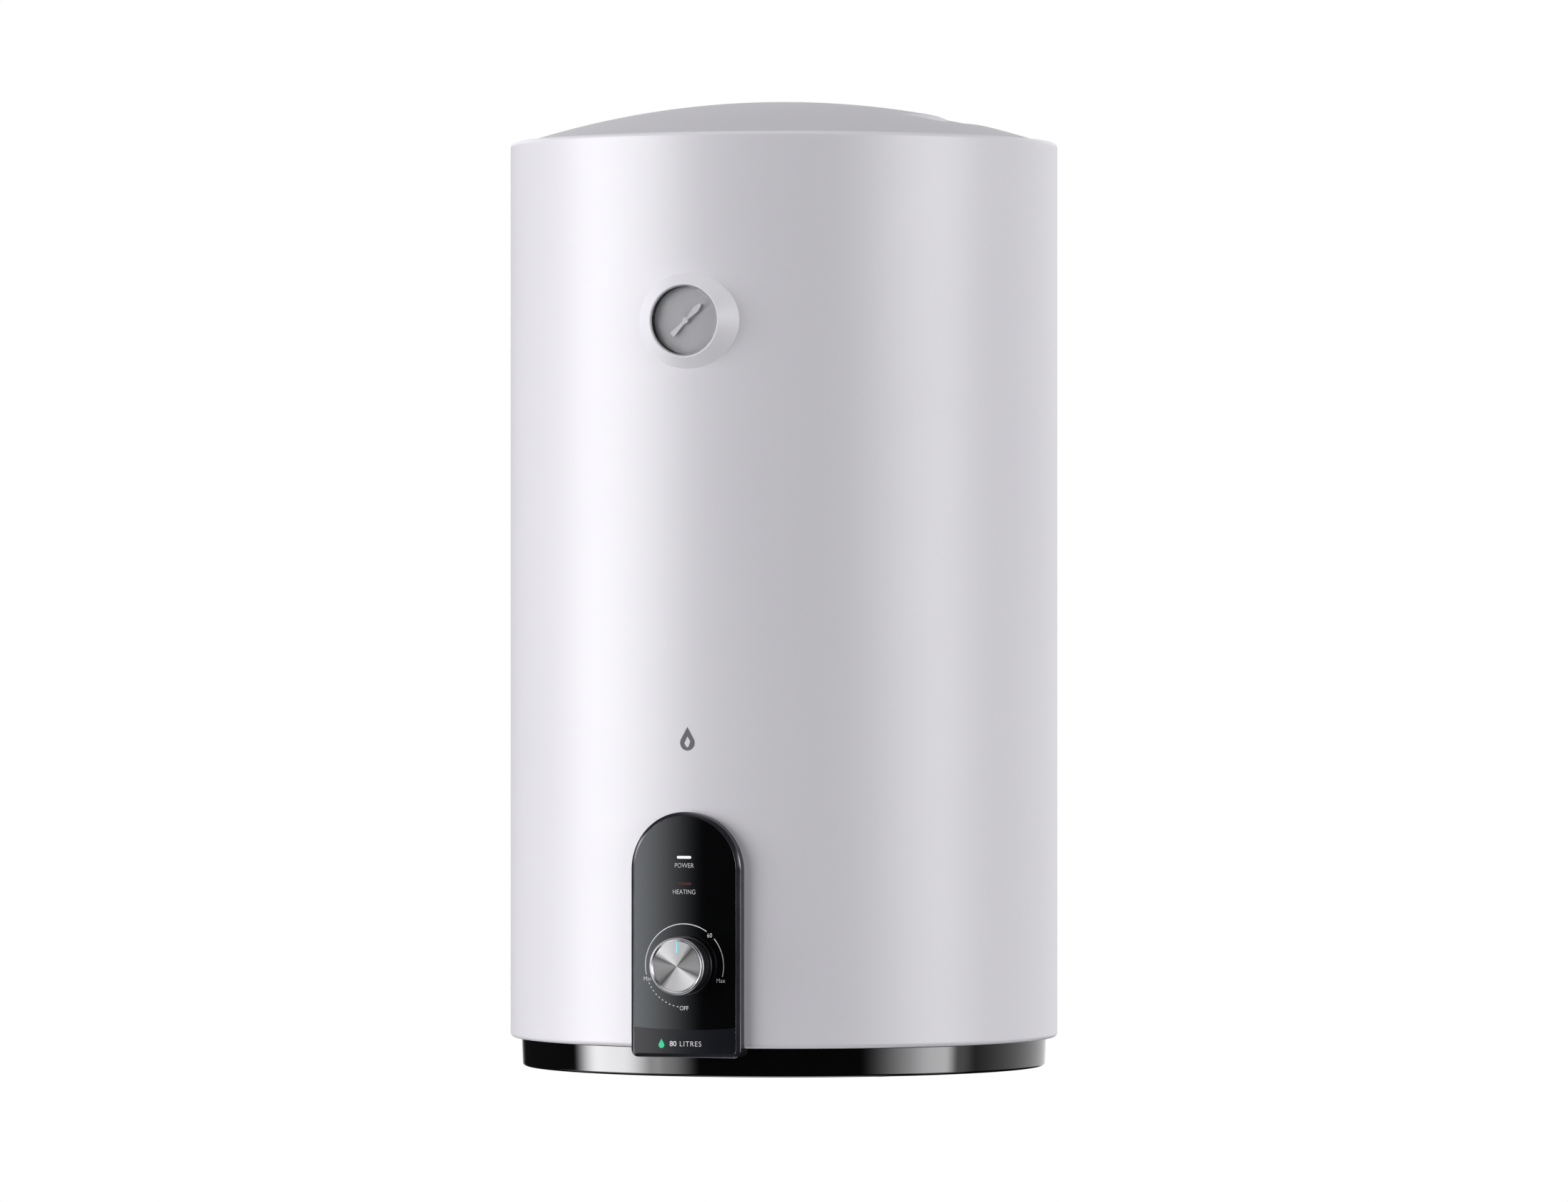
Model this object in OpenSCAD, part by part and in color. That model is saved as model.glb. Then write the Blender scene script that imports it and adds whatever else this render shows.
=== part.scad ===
// Wall-hung electric storage water heater, upright, with its tank, flange, element and controls.
// Row frame: +Z up, the front faces -Y, the wall is the plane Y = 0.
// The origin is the centre of the four wall slots, on the wall.
// "Out" is the distance from the tank's axis towards the front, or towards the wall for the brackets.

/* [Casing] */
// Outer diameter of the painted casing
casing_d = 450; // [430:5:470]
// Height of the painted casing
casing_h = 734; // [700:2:780]
// Thickness of the casing's sheet
sheet = 0.6; // [0.5:0.1:1.2]
// Radius of the rolled edge at the top and bottom of the casing
edge_r = 3.5; // [2:0.5:5]
// Gap between the casing's back and the wall
wall_gap = 14; // [13:1:18]
// Height of the domed top cover above the casing
dome_h = 33.8; // [28:0.2:40]
// Diameter of the dome where it meets the casing
dome_d = 428; // [420:1:430]
// Height of the black base that shows below the casing
base_h = 23.4; // [20:0.2:30]
// Diameter of the black base at its top
base_d = 431.2; // [420:0.2:434]

/* [Tank] */
// Outer diameter of the inner tank
tank_d = 400; // [390:2:404]
// Wall thickness of the inner tank
tank_wall = 1.8; // [1.5:0.1:3]
// Depth of each domed tank head
head_depth = 60; // [56:1:66]
// Distance from the casing's top down to the tank's top
tank_top_gap = 22; // [20:1:30]
// Distance from the tank's bottom down to the casing's bottom
tank_bottom_gap = 49; // [49:1:56]

/* [Water pipes] */
// Outer diameter of the G1/2 pipe stubs
pipe_d = 20.96; // [20.5:0.02:21]
// Distance between the two pipes
pipe_pitch = 100; // [90:1:120]
// How far the pipes stand behind the tank's axis
pipe_back = 95; // [85:1:105]
// How far the pipes stand out below the base
pipe_out = 13.5; // [12:0.5:20]

/* [Wall brackets] */
// Sideways distance between the two slots of a bracket
slot_pitch = 200; // [190:1:210]
// Distance between the upper and lower brackets
bracket_pitch = 400; // [360:5:440]
// End-to-end length of a wall slot
slot_len = 30; // [24:1:34]
// Width of a wall slot
slot_w = 12; // [11:0.5:13]

/* [Control panel] */
// Width of the arched control panel
panel_w = 93.4; // [90:0.2:98]
// Height of the arched control panel
panel_h = 196.6; // [190:0.2:204]
// How far the panel hangs below the casing
panel_drop = 7.3; // [5:0.1:10]
// Distance out from the tank's axis to the panel's face
face_out = 232.5; // [232:0.1:234]
// Height of the knob's centre above the panel's bottom edge
knob_up = 73.7; // [70:0.1:78]
// Diameter of the knob's metal cap
cap_d = 46.4; // [44:0.2:48]
// How far the knob stands out of the panel's face
knob_out = 18; // [16:0.5:20]

/* [Thermometer] */
// Distance from the casing's top down to the thermometer's centre
gauge_down = 151.5; // [120:0.5:200]
// Diameter of the thermometer's window
window_d = 57; // [54:0.5:58]
// Turn of the needle at rest, clockwise from straight up
needle_turn = 45; // [-90:5:90]

/* [Hidden] */
$fn = 96;

gap = 0.3;                              // clearance between shells that only lie near each other
eps = 0.01;                             // overrun of a cutter past the face it cuts
casing_r = casing_d / 2;
axis_y = -(casing_r + wall_gap);        // the tank's axis
top_z = casing_h / 2;                   // top of the casing
bot_z = -casing_h / 2;                  // bottom of the casing
base_z = bot_z - base_h;                // underside of the black base
inner_r = casing_r - sheet;
lip_r = dome_d / 2 - 9;                 // inner edge of the casing's turned-in lips

// Tank
tank_r = tank_d / 2;
knuckle_r = 40;
tank_hi = top_z - tank_top_gap;         // top of the tank
tank_lo = bot_z + tank_bottom_gap;      // bottom of the tank
shell_hi = tank_hi - head_depth;        // where the straight wall ends
shell_lo = tank_lo + head_depth;
crown_r = ((tank_r - knuckle_r) ^ 2 + head_depth ^ 2 - knuckle_r ^ 2) / (2 * (head_depth - knuckle_r));
crown_a = asin((tank_r - knuckle_r) / (crown_r - knuckle_r));
foam_gap = 1;                           // the foam keeps off the tank by this much
foam_lo = tank_lo - 2;
foam_hi = top_z - sheet - gap;
foam_r = inner_r - gap;
well_r = 72;                            // round well in the foam that leaves the flange free

// Flange at the tank's bottom
flange_r = 64;
flange_bore_r = 47;
neck_r = 57;
collar_lo = tank_lo - 10;
gasket_t = 3;
plate_t = 4;
plate_hi = collar_lo - gasket_t;
plate_lo = plate_hi - plate_t;
stud_n = 6;
stud_pcd = 112;
stud_r = 4;
stud_a0 = 30;                           // angle of the first stud
nut_h = 6.5;
nut_r = 7.5;
bracket_t = 1.5;                        // sheet of the electrics bracket
element_tube_r = 4.25;
hairpin_x = [-28, -8];                  // the two hairpins of the element
hairpin_top = [tank_lo + 300, tank_lo + 270];
hairpin_half = 14;                      // half the distance between a hairpin's legs
pocket_at = [18, 20];
pocket_r = 8.5;
pocket_wall = 1;
bulb_r = 3;
anode_at = [24, -12];
anode_r = 11;
anode_len = 260;

// Pipes
pipe_r = pipe_d / 2;
pipe_bore_r = 8;
upper_pipe_r = pipe_r - 0.6;
pipe_lo = base_z - pipe_out;
collar_flange = 1.6;
thread_hi = base_z - collar_flange - 0.4;
pipe_x = pipe_pitch / 2;
head_hole_gap = 0.2;

// Wall brackets
plate = 3;                              // sheet of the wall brackets
bracket_h = 70;
bracket_half = 130;
hat_half = 63;                          // half width of the part pressed towards the casing
seat_out = casing_r + 1;                // distance from the axis to the bracket's seat
wall_out = casing_r + wall_gap;
boss_x = 45;
boss_z = 20;
boss_r = 8;
bolt_r = 4;

// Control panel, on a plane square to the front
panel_lo = bot_z - panel_drop;
panel_hi = panel_lo + panel_h;
arch_z = panel_hi - panel_w / 2;        // centre of the arch
corner_r = 6;                           // bottom corners of the panel
knob_z = panel_lo + knob_up;
chamfer_w = 3.2;                        // the bezel's sloping face
chamfer_d = 2.1;
housing_wall = 2.2;
floor_out = 226;                        // back of the housing's floor
floor_t = 1.8;
face_t = 2;
face_inset = chamfer_w + 0.6;
lamp_z = [panel_hi - 36.3, panel_hi - 57.4];
lamp_w = 12.2;
lamp_h = 2.1;
trim_top = panel_lo + 22.2;             // lowest point of the trim's hollow upper edge
trim_sag = 2;                           // how far the hollow dips below its ends
trim_r = (panel_w - 2 * face_inset) ^ 2 / (8 * trim_sag);

// Knob
cap_r = cap_d / 2;
knob_front = face_out + knob_out;
spindle_r = 3;
collar_t = 1.5;

// Thermometer
gauge_z = top_z - gauge_down;
window_r = window_d / 2;
rim_out = casing_r + 8.5;
dial_out = casing_r + 1.8;              // face of the dial
gauge_hole_r = 27;
case_out = 206;                         // back of the thermometer's metal cup
coil_out = 214.5;                       // back of its bimetal strip
coil_w = 5;                             // width of the strip
coil_hub_r = 2.6;                       // hub that turns inside the strip

// Electrics under the tank
sheet_x = [42, 152];                    // the electrics bracket, from its inner to its outer end
sheet_half = 40;
shelf_hi = plate_lo;
shelf_lo = plate_lo - bracket_t;
cutout_at = [96, 20];
cutout_size = [30, 30, 26];
block_at = [132, -14];
block_size = [22, 48, 16];
block_pitch = 16;
earth_at = [70, -30];
gland_at = [110, 110];
gland_bore_r = 4.2;
floor_hi = base_z + 2.5;                // inside of the base
cover_screw_r = 200;                    // circle of the base's screws
screw_up = 12;                          // seat of the screw heads above the underside

// ---------- helpers ----------
// Points of an arc about [cx, cy], with angles from +X.
function arc(cx, cy, r, a0, a1, n) =
    [for (i = [0 : n]) let (a = a0 + (a1 - a0) * i / n) [cx + r * cos(a), cy + r * sin(a)]];

// Outline of one domed head, as [radius, height above the tangent line], from the wall to the axis.
function head_outline(grow) = concat(
    arc(tank_r - knuckle_r, 0, knuckle_r + grow, 0, 90 - crown_a, 8),
    arc(0, head_depth - crown_r, crown_r + grow, 90 - crown_a, 90, 6));

// Points along a smooth curve through the given points, with n steps between each two.
function smooth_route(p, n) = concat(
    [for (i = [0 : len(p) - 2], k = [0 : n - 1])
        let (t = k / n,
             a = p[max(i - 1, 0)], b = p[i], c = p[i + 1], d = p[min(i + 2, len(p) - 1)])
        0.5 * (2 * b + (c - a) * t + (2 * a - 5 * b + 4 * c - d) * t ^ 2
               + (3 * b - a - 3 * c + d) * t ^ 3)],
    [p[len(p) - 1]]);

function unit(v) = v / norm(v);
function route_tangent(p, i) = unit(p[min(i + 1, len(p) - 1)] - p[max(i - 1, 0)]);
// Sideways direction at each point, carried along the route so that the tube doesn't twist.
function carried(p, i, u, done) =
    i >= len(p) ? done
    : let (t = route_tangent(p, i), v = unit(u - (u * t) * t))
      carried(p, i + 1, v, concat(done, [v]));

module sweep(p, r, sides = 8) {
    first = route_tangent(p, 0);
    start = abs(first.z) < 0.9 ? [0, 0, 1] : [1, 0, 0];
    u = carried(p, 0, start, []);
    n = len(p);
    points = [for (i = [0 : n - 1], k = [0 : sides - 1])
        let (w = cross(route_tangent(p, i), u[i]), a = 360 * k / sides)
        p[i] + r * (cos(a) * u[i] + sin(a) * w)];
    walls = [for (i = [0 : n - 2], k = [0 : sides - 1], half = [0, 1])
        let (a = i * sides + k, b = i * sides + (k + 1) % sides)
        half == 0 ? [a, a + sides, b + sides] : [a, b + sides, b]];
    ends = [[for (k = [0 : sides - 1]) k],
            [for (k = [sides - 1 : -1 : 0]) (n - 1) * sides + k]];
    polyhedron(points, concat(walls, ends));
}

// Draws in coordinates about the tank's axis.
module on_axis() translate([0, axis_y, 0]) children();
// Draws with local Z pointing out of the front, local X to the right and local Y up.
module facing_front(z) translate([0, axis_y, z]) rotate([90, 0, 0]) children();
// Draws with local Z pointing to the wall, local X to the right and local Y down.
module facing_wall(z) translate([0, axis_y, z]) rotate([-90, 0, 0]) children();

module tube(r_out, r_in, h) difference() {
    cylinder(r = r_out, h = h);
    translate([0, 0, -eps]) cylinder(r = r_in, h = h + 2 * eps);
}

module slot_2d(len, w) {
    square([len - w, w], center = true);
    for (s = [-1, 1]) translate([s * (len - w) / 2, 0]) circle(d = w);
}

// ---------- casing ----------
module jacket_profile() {
    r = casing_r;
    e = edge_r;
    polygon(concat(
        [[lip_r, bot_z], [r - e, bot_z]], arc(r - e, bot_z + e, e, -90, 0, 6),
        arc(r - e, top_z - e, e, 0, 90, 6), [[lip_r, top_z], [lip_r, top_z - sheet]],
        arc(r - e, top_z - e, e - sheet, 90, 0, 6),
        arc(r - e, bot_z + e, e - sheet, 0, -90, 6), [[lip_r, bot_z + sheet]]));
}

module panel_opening() facing_front(0)
    translate([-36, bot_z + 37, 150]) cube([72, 68, 100]);

module cover_screw_places() for (a = [45 : 90 : 315])
    rotate([0, 0, a]) translate([cover_screw_r, 0, 0]) children();

module outer_jacket() color([0.93, 0.93, 0.95]) {
    difference() {
        on_axis() union() {
            rotate_extrude() jacket_profile();
            // folded seam down the back
            rotate([0, 0, 90 - 1.3]) rotate_extrude(angle = 2.6)
                translate([casing_r - 0.2, bot_z + 8]) square([0.8, casing_h - 16]);
            // tabs that the base is screwed to
            cover_screw_places() translate([-7, -9, bot_z]) cube([16, 18, sheet]);
        }
        facing_front(gauge_z) translate([0, 0, 150]) cylinder(r = gauge_hole_r, h = 100);
        panel_opening();
        for (z = [-1, 1]) facing_wall(z * bracket_pitch / 2)
            for (x = [-boss_x, boss_x], y = [-boss_z, boss_z])
                translate([x, y, 150]) cylinder(r = boss_r + 1, h = 100);
        on_axis() cover_screw_places() translate([0, 0, bot_z - 1]) cylinder(r = 2, h = 4);
    }
}

// Radius of the sphere that the dome's outside follows.
dome_sphere_r = ((dome_d / 2) ^ 2 + dome_h ^ 2) / (2 * dome_h);
dome_t = 1.5;
scoop_at = 143;                         // distance of the grip scoops from the axis
scoop_r = 70;                           // radius of the scoop's floor
scoop_half = 34;                        // half the length of the scoop's straight part
scoop_lift = 49.5;                      // height of the scoop's centre above the dome's top

module scoop(grow) for (s = [-1, 1])
    translate([s * scoop_at, 0, top_z + dome_h + scoop_lift]) {
        rotate([90, 0, 0]) cylinder(r = scoop_r + grow, h = 2 * scoop_half, center = true);
        for (e = [-1, 1]) translate([0, e * scoop_half, 0]) sphere(r = scoop_r + grow);
    }

// Solid under the dome, out to radius r and drawn in by t.
module dome_solid(r, t, low) {
    centre = top_z + dome_h - dome_sphere_r;
    a = acos(r / (dome_sphere_r - t));
    rotate_extrude() polygon(concat([[0, low], [r, low]],
        arc(0, centre, dome_sphere_r - t, a, 90, 14)));
}

module top_cover() color([0.90, 0.90, 0.92]) on_axis() {
    ring_r = lip_r - gap;
    difference() {
        dome_solid(dome_d / 2, 0, top_z);
        scoop(0);
        difference() {
            dome_solid(ring_r - dome_t, dome_t, top_z - 1);
            scoop(dome_t);
        }
    }
    // ring that locates the cover in the casing's top hole
    translate([0, 0, top_z - 8]) tube(ring_r, ring_r - dome_t, 8 + eps);
}

module bottom_cover() color([0.03, 0.03, 0.035]) on_axis() {
    t = 2.5;
    f = 2;                              // rounded lower edge
    r = base_d / 2;
    r_lo = r - 0.9;                     // the skirt draws in slightly
    rise = bot_z - gap;
    difference() {
        union() {
            rotate_extrude() polygon(concat(
                [[0, base_z]], arc(r_lo - f, base_z + f, f, -90, 0, 6),
                [[r, rise], [r - t, rise], [r_lo - t, floor_hi], [0, floor_hi]]));
            // upstand that locates the base inside the casing's lower lip
            translate([0, 0, base_z + 1]) tube(lip_r - 1, lip_r - 3, rise - base_z + 5);
            cover_screw_places() translate([0, 0, base_z + 1]) cylinder(r = 6, h = rise - base_z - 1);
        }
        // the upstand is cut away at the control housing and at the casing's screw tabs
        facing_front(0) translate([-40, floor_hi, 150]) cube([80, 40, 60]);
        cover_screw_places() translate([-12, -11, rise]) cube([24, 22, 10]);
        cover_screw_places() {
            translate([0, 0, base_z - 1]) cylinder(r = 4.6, h = screw_up + 1);
            translate([0, 0, base_z]) cylinder(r = 2.1, h = 40);
        }
        for (s = [-1, 1]) translate([s * pipe_x, pipe_back, base_z - 1]) cylinder(r = 16, h = 6);
        translate([gland_at.x, gland_at.y, base_z - 1]) cylinder(r = 8.2, h = 6);
        // air slots under the flange
        for (i = [-3 : 3]) translate([i * 11, 0, base_z - 1]) linear_extrude(6)
            rotate(90) slot_2d(44, 4);
    }
}

module bottom_cover_screws() color([0.55, 0.55, 0.57]) on_axis()
    cover_screw_places() translate([0, 0, base_z + screw_up]) {
        difference() {
            translate([0, 0, -2.6]) cylinder(r = 4, h = 2.6);
            translate([-0.5, -4.5, -3]) cube([1, 9, 1.4]);
            translate([-4.5, -0.5, -3]) cube([9, 1, 1.4]);
        }
        cylinder(r = 1.9, h = 18);
    }

// ---------- insulation and tank ----------
module tank_region(grow) rotate_extrude() polygon(concat(
    [for (p = head_outline(grow)) [p.x, shell_hi + p.y]],
    [for (i = [len(head_outline(grow)) - 1 : -1 : 0])
        let (p = head_outline(grow)[i]) [p.x, shell_lo - p.y]]));

module insulation_foam() color([0.93, 0.86, 0.62]) difference() {
    on_axis() difference() {
        rotate_extrude() polygon([[0, foam_lo], [foam_r, foam_lo], [foam_r, foam_hi - edge_r],
                                  [foam_r - edge_r, foam_hi], [0, foam_hi]]);
        tank_region(foam_gap);
        translate([0, 0, foam_lo - 1]) cylinder(r = well_r, h = 20);
        translate([0, 0, top_z - 12]) tube(lip_r + 1, lip_r - 3, 20);
        for (s = [-1, 1]) translate([s * pipe_x, pipe_back, foam_lo - 1])
            cylinder(r = pipe_r + 1, h = 40);
    }
    // pocket for the thermostat, open to the space below
    facing_front(0) translate([-34, foam_lo - 1, 190]) cube([68, shell_lo - foam_lo + 6, 60]);
    facing_front(gauge_z) translate([0, 0, tank_r - 10]) cylinder(r = gauge_hole_r + 1, h = 60);
    for (z = [-1, 1]) facing_wall(z * bracket_pitch / 2)
        for (x = [-boss_x, boss_x], y = [-boss_z, boss_z])
            translate([x, y, 150]) cylinder(r = boss_r + gap, h = 100);
}

module tank_shell() color([0.55, 0.57, 0.60]) on_axis()
    translate([0, 0, shell_lo]) tube(tank_r, tank_r - tank_wall, shell_hi - shell_lo);

module tank_head() rotate_extrude() polygon(concat(
    head_outline(0),
    [for (i = [len(head_outline(0)) - 1 : -1 : 0]) head_outline(-tank_wall)[i]]));

module tank_top_head() color([0.55, 0.57, 0.60]) on_axis() translate([0, 0, shell_hi]) tank_head();

module tank_bottom_head() color([0.55, 0.57, 0.60]) on_axis() difference() {
    translate([0, 0, shell_lo]) mirror([0, 0, 1]) tank_head();
    translate([0, 0, tank_lo - 10]) cylinder(r = neck_r + head_hole_gap, h = 40);
    for (s = [-1, 1]) translate([s * pipe_x, pipe_back, tank_lo - 10])
        cylinder(r = upper_pipe_r + head_hole_gap, h = 60);
}

// ---------- flange and what it carries ----------
module stud_places() for (i = [0 : stud_n - 1])
    rotate([0, 0, stud_a0 + i * 360 / stud_n]) translate([stud_pcd / 2, 0, 0]) children();

module flange_collar() color([0.60, 0.60, 0.62]) on_axis() difference() {
    union() {
        translate([0, 0, collar_lo]) cylinder(r = neck_r, h = 22);
        translate([0, 0, collar_lo]) cylinder(r = flange_r, h = 9);
    }
    translate([0, 0, collar_lo - 1]) cylinder(r = flange_bore_r, h = 40);
    stud_places() translate([0, 0, collar_lo - 1]) cylinder(r = stud_r + 0.05, h = 8);
}

module flange_studs() color([0.72, 0.72, 0.70]) on_axis() stud_places()
    translate([0, 0, plate_lo - 13]) cylinder(r = stud_r, h = collar_lo + 6.5 - plate_lo + 13);

// The two studs nearest the electrics also hold its bracket.
module flange_nuts() color([0.72, 0.72, 0.70]) on_axis() for (i = [0 : stud_n - 1])
    rotate([0, 0, stud_a0 + i * 360 / stud_n])
        translate([stud_pcd / 2, 0, (i == 0 || i == stud_n - 1 ? shelf_lo : plate_lo) - nut_h])
            difference() {
                cylinder(r = nut_r, h = nut_h, $fn = 6);
                translate([0, 0, -1]) cylinder(r = stud_r + 0.05, h = nut_h + 2);
            }

module flange_gasket() color([0.55, 0.16, 0.12]) on_axis()
    translate([0, 0, plate_hi]) tube(51.5, flange_bore_r, gasket_t);

module flange_hole_places() {
    for (x = hairpin_x, y = [-hairpin_half, hairpin_half]) translate([x, y, 0])
        cylinder(r = element_tube_r + 0.05, h = 40, center = true);
    translate([pocket_at.x, pocket_at.y, 0]) cylinder(r = pocket_r + 0.05, h = 40, center = true);
    translate([anode_at.x, anode_at.y, 0]) cylinder(r = 4.05, h = 40, center = true);
}

module flange_plate() color([0.66, 0.66, 0.67]) on_axis() translate([0, 0, plate_lo]) difference() {
    cylinder(r = flange_r, h = plate_t);
    flange_hole_places();
    stud_places() translate([0, 0, -1]) cylinder(r = stud_r + 0.5, h = plate_t + 2);
}

// Two hairpin tubes that rise from the flange.
module heating_element() color([0.62, 0.42, 0.28]) on_axis() for (i = [0, 1]) {
    top = hairpin_top[i];
    low = plate_lo - 2;
    for (y = [-hairpin_half, hairpin_half]) translate([hairpin_x[i], y, low])
        cylinder(r = element_tube_r, h = top - low);
    translate([hairpin_x[i], 0, top]) rotate([90, 0, 90]) rotate_extrude(angle = 180)
        translate([hairpin_half, 0]) circle(r = element_tube_r);
}

module leg_ends(z) on_axis() for (x = hairpin_x, y = [-hairpin_half, hairpin_half])
    translate([x, y, z]) children();

module element_insulators() color([0.92, 0.90, 0.84]) leg_ends(plate_lo - 7)
    cylinder(r = 4.6, h = 5);

module element_tabs() color([0.78, 0.76, 0.70]) leg_ends(tab_lo)
    translate([-3.15, -0.4, 0]) cube([6.3, 0.8, 10]);

module sensor_pocket() color([0.62, 0.42, 0.28]) on_axis()
    translate([pocket_at.x, pocket_at.y, plate_lo - 2]) difference() {
        cylinder(r = pocket_r, h = 250);
        translate([0, 0, -1]) cylinder(r = pocket_r - pocket_wall, h = 249);
    }

module bulb(s) color([0.72, 0.45, 0.30]) on_axis()
    translate([pocket_at.x, pocket_at.y + s * 3.4, plate_lo + 40]) {
        cylinder(r = bulb_r, h = 90);
        translate([0, 0, -42]) cylinder(r = 0.9, h = 42);
    }

module thermostat_bulb() bulb(-1);
module cutout_bulb() bulb(1);

module magnesium_anode() color([0.70, 0.71, 0.72]) on_axis()
    translate([anode_at.x, anode_at.y, 0]) {
        translate([0, 0, plate_hi + 8]) cylinder(r = anode_r, h = anode_len);
        translate([0, 0, plate_lo - 12]) cylinder(r = 4, h = plate_hi + 8 - plate_lo + 12);
    }

module anode_nut() color([0.75, 0.74, 0.70]) on_axis()
    translate([anode_at.x, anode_at.y, plate_lo - 6]) difference() {
        cylinder(r = 7.5, h = 6, $fn = 6);
        translate([0, 0, -1]) cylinder(r = 4.05, h = 8);
    }

// ---------- water pipes ----------
// The threaded end is a little thicker than the pipe above it.
module pipe(x, top) on_axis() translate([x, pipe_back, 0]) difference() {
    union() {
        translate([0, 0, pipe_lo]) cylinder(r = pipe_r, h = thread_hi - pipe_lo);
        translate([0, 0, thread_hi - eps]) cylinder(r = upper_pipe_r, h = top - thread_hi + eps);
    }
    translate([0, 0, pipe_lo - 1]) cylinder(r = pipe_bore_r, h = top - pipe_lo + 2);
}

module cold_inlet_pipe() color([0.74, 0.75, 0.76]) pipe(pipe_x, tank_lo + 26);
module hot_outlet_pipe() color([0.74, 0.75, 0.76]) pipe(-pipe_x, tank_hi - 34);

module inlet_diffuser() color([0.90, 0.90, 0.88]) on_axis()
    translate([pipe_x, pipe_back, tank_lo + 14]) difference() {
        cylinder(r = 15, h = 34);
        translate([0, 0, -1]) cylinder(r = upper_pipe_r, h = 13);
        translate([0, 0, 11]) cylinder(r = 12.5, h = 20);
        for (a = [0 : 60 : 300]) rotate([0, 0, a]) translate([5, -2.5, 15]) cube([20, 5, 12]);
    }

module pipe_collar(x) on_axis() translate([x, pipe_back, 0]) {
    translate([0, 0, base_z - collar_flange]) tube(19, upper_pipe_r + 0.1, collar_flange);
    translate([0, 0, base_z - eps]) tube(15.8, upper_pipe_r + 0.1, 8);
}

module cold_pipe_collar() color([0.10, 0.30, 0.75]) pipe_collar(pipe_x);
module hot_pipe_collar() color([0.78, 0.10, 0.08]) pipe_collar(-pipe_x);

// ---------- wall brackets ----------
module bracket_outline() polygon([
    [-bracket_half, wall_out - plate], [-hat_half - plate, wall_out - plate],
    [-hat_half - plate, seat_out], [hat_half + plate, seat_out],
    [hat_half + plate, wall_out - plate], [bracket_half, wall_out - plate],
    [bracket_half, wall_out], [hat_half, wall_out], [hat_half, seat_out + plate],
    [-hat_half, seat_out + plate], [-hat_half, wall_out], [-bracket_half, wall_out]]);

module wall_bracket(z) color([0.80, 0.80, 0.78]) difference() {
    union() {
        on_axis() translate([0, 0, z - bracket_h / 2]) linear_extrude(bracket_h) bracket_outline();
        // stiffening lips folded towards the casing
        for (s = [-1, 1], e = [-1, 1]) on_axis()
            translate([s * (hat_half + bracket_half) / 2 - 30, wall_out - 12,
                       z + e * (bracket_h / 2 - 1) - 1])
                cube([60, 12 - 1, 2]);
    }
    facing_wall(z) {
        for (s = [-1, 1]) translate([s * slot_pitch / 2, 0, wall_out - 10])
            linear_extrude(20) slot_2d(slot_len, slot_w);
        for (x = [-boss_x, boss_x], y = [-boss_z, boss_z])
            translate([x, y, seat_out - 5]) cylinder(r = bolt_r + 0.5, h = 15);
    }
}

module upper_wall_bracket() wall_bracket(bracket_pitch / 2);
module lower_wall_bracket() wall_bracket(-bracket_pitch / 2);

module boss_places() for (z = [-1, 1]) facing_wall(z * bracket_pitch / 2)
    for (x = [-boss_x, boss_x], y = [-boss_z, boss_z]) translate([x, y, 0]) children();

module bracket_bolts() color([0.76, 0.74, 0.66]) boss_places() {
    translate([0, 0, seat_out + plate]) cylinder(r = 8.5, h = 1.6);
    translate([0, 0, seat_out + plate + 1.6]) cylinder(r = 7.5, h = 4, $fn = 6);
    translate([0, 0, seat_out - 16]) cylinder(r = bolt_r, h = 16 + plate);
}

module bracket_bosses() color([0.58, 0.58, 0.60]) difference() {
    boss_places() difference() {
        translate([0, 0, tank_r - 20]) cylinder(r = boss_r, h = seat_out - tank_r + 20);
        translate([0, 0, seat_out - 18]) cylinder(r = bolt_r + 0.05, h = 20);
    }
    on_axis() translate([0, 0, -top_z]) cylinder(r = tank_r, h = casing_h, $fn = 720);
}

// ---------- control panel ----------
// Arched outline in the panel's own plane, drawn about x = 0 with z as its height.
module panel_outline(inset) {
    r = panel_w / 2 - inset;
    c = max(corner_r - inset, 1.5);
    low = panel_lo + inset;
    translate([0, arch_z]) circle(r = r);
    translate([-r, low + c]) square([2 * r, arch_z - low - c]);
    translate([-r + c, low]) square([2 * r - 2 * c, c + 1]);
    for (s = [-1, 1]) translate([s * (r - c), low + c]) circle(r = c);
}

module panel_slab(inset, n0, n1) facing_front(0)
    translate([0, 0, n0]) linear_extrude(n1 - n0) panel_outline(inset);

bezel_edge = face_out - chamfer_d;      // where the bezel's slope starts
bezel_back = bezel_edge - 1.5;

module control_housing() color([0.10, 0.10, 0.11]) difference() {
    union() {
        difference() {
            panel_slab(0, casing_r - 16, bezel_back);
            panel_slab(housing_wall, casing_r - 20, bezel_back + 1);
        }
        panel_slab(housing_wall - 0.2, floor_out, floor_out + floor_t);
    }
    // shaped to the casing above and to the base below
    on_axis() translate([0, 0, bot_z - gap]) cylinder(r = casing_r + gap, h = casing_h);
    on_axis() translate([0, 0, base_z - 20]) cylinder(r = base_d / 2 + gap, h = 60);
    facing_front(knob_z) translate([0, 0, floor_out - 5]) {
        cylinder(r = 6, h = 10);
        for (s = [-1, 1]) translate([s * 14, 0, 0]) cylinder(r = 2.1, h = 10);
    }
    // way through for the lamp board's wires
    facing_front(knob_z) translate([-26, 20, floor_out - 5]) cube([8, 12, 10]);
}

module control_bezel() color([0.16, 0.16, 0.18]) difference() {
    hull() {
        panel_slab(0, bezel_back, bezel_edge);
        panel_slab(chamfer_w, face_out - 0.02, face_out);
    }
    panel_slab(face_inset - 0.15, bezel_back - 1, face_out + 1);
}

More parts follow.
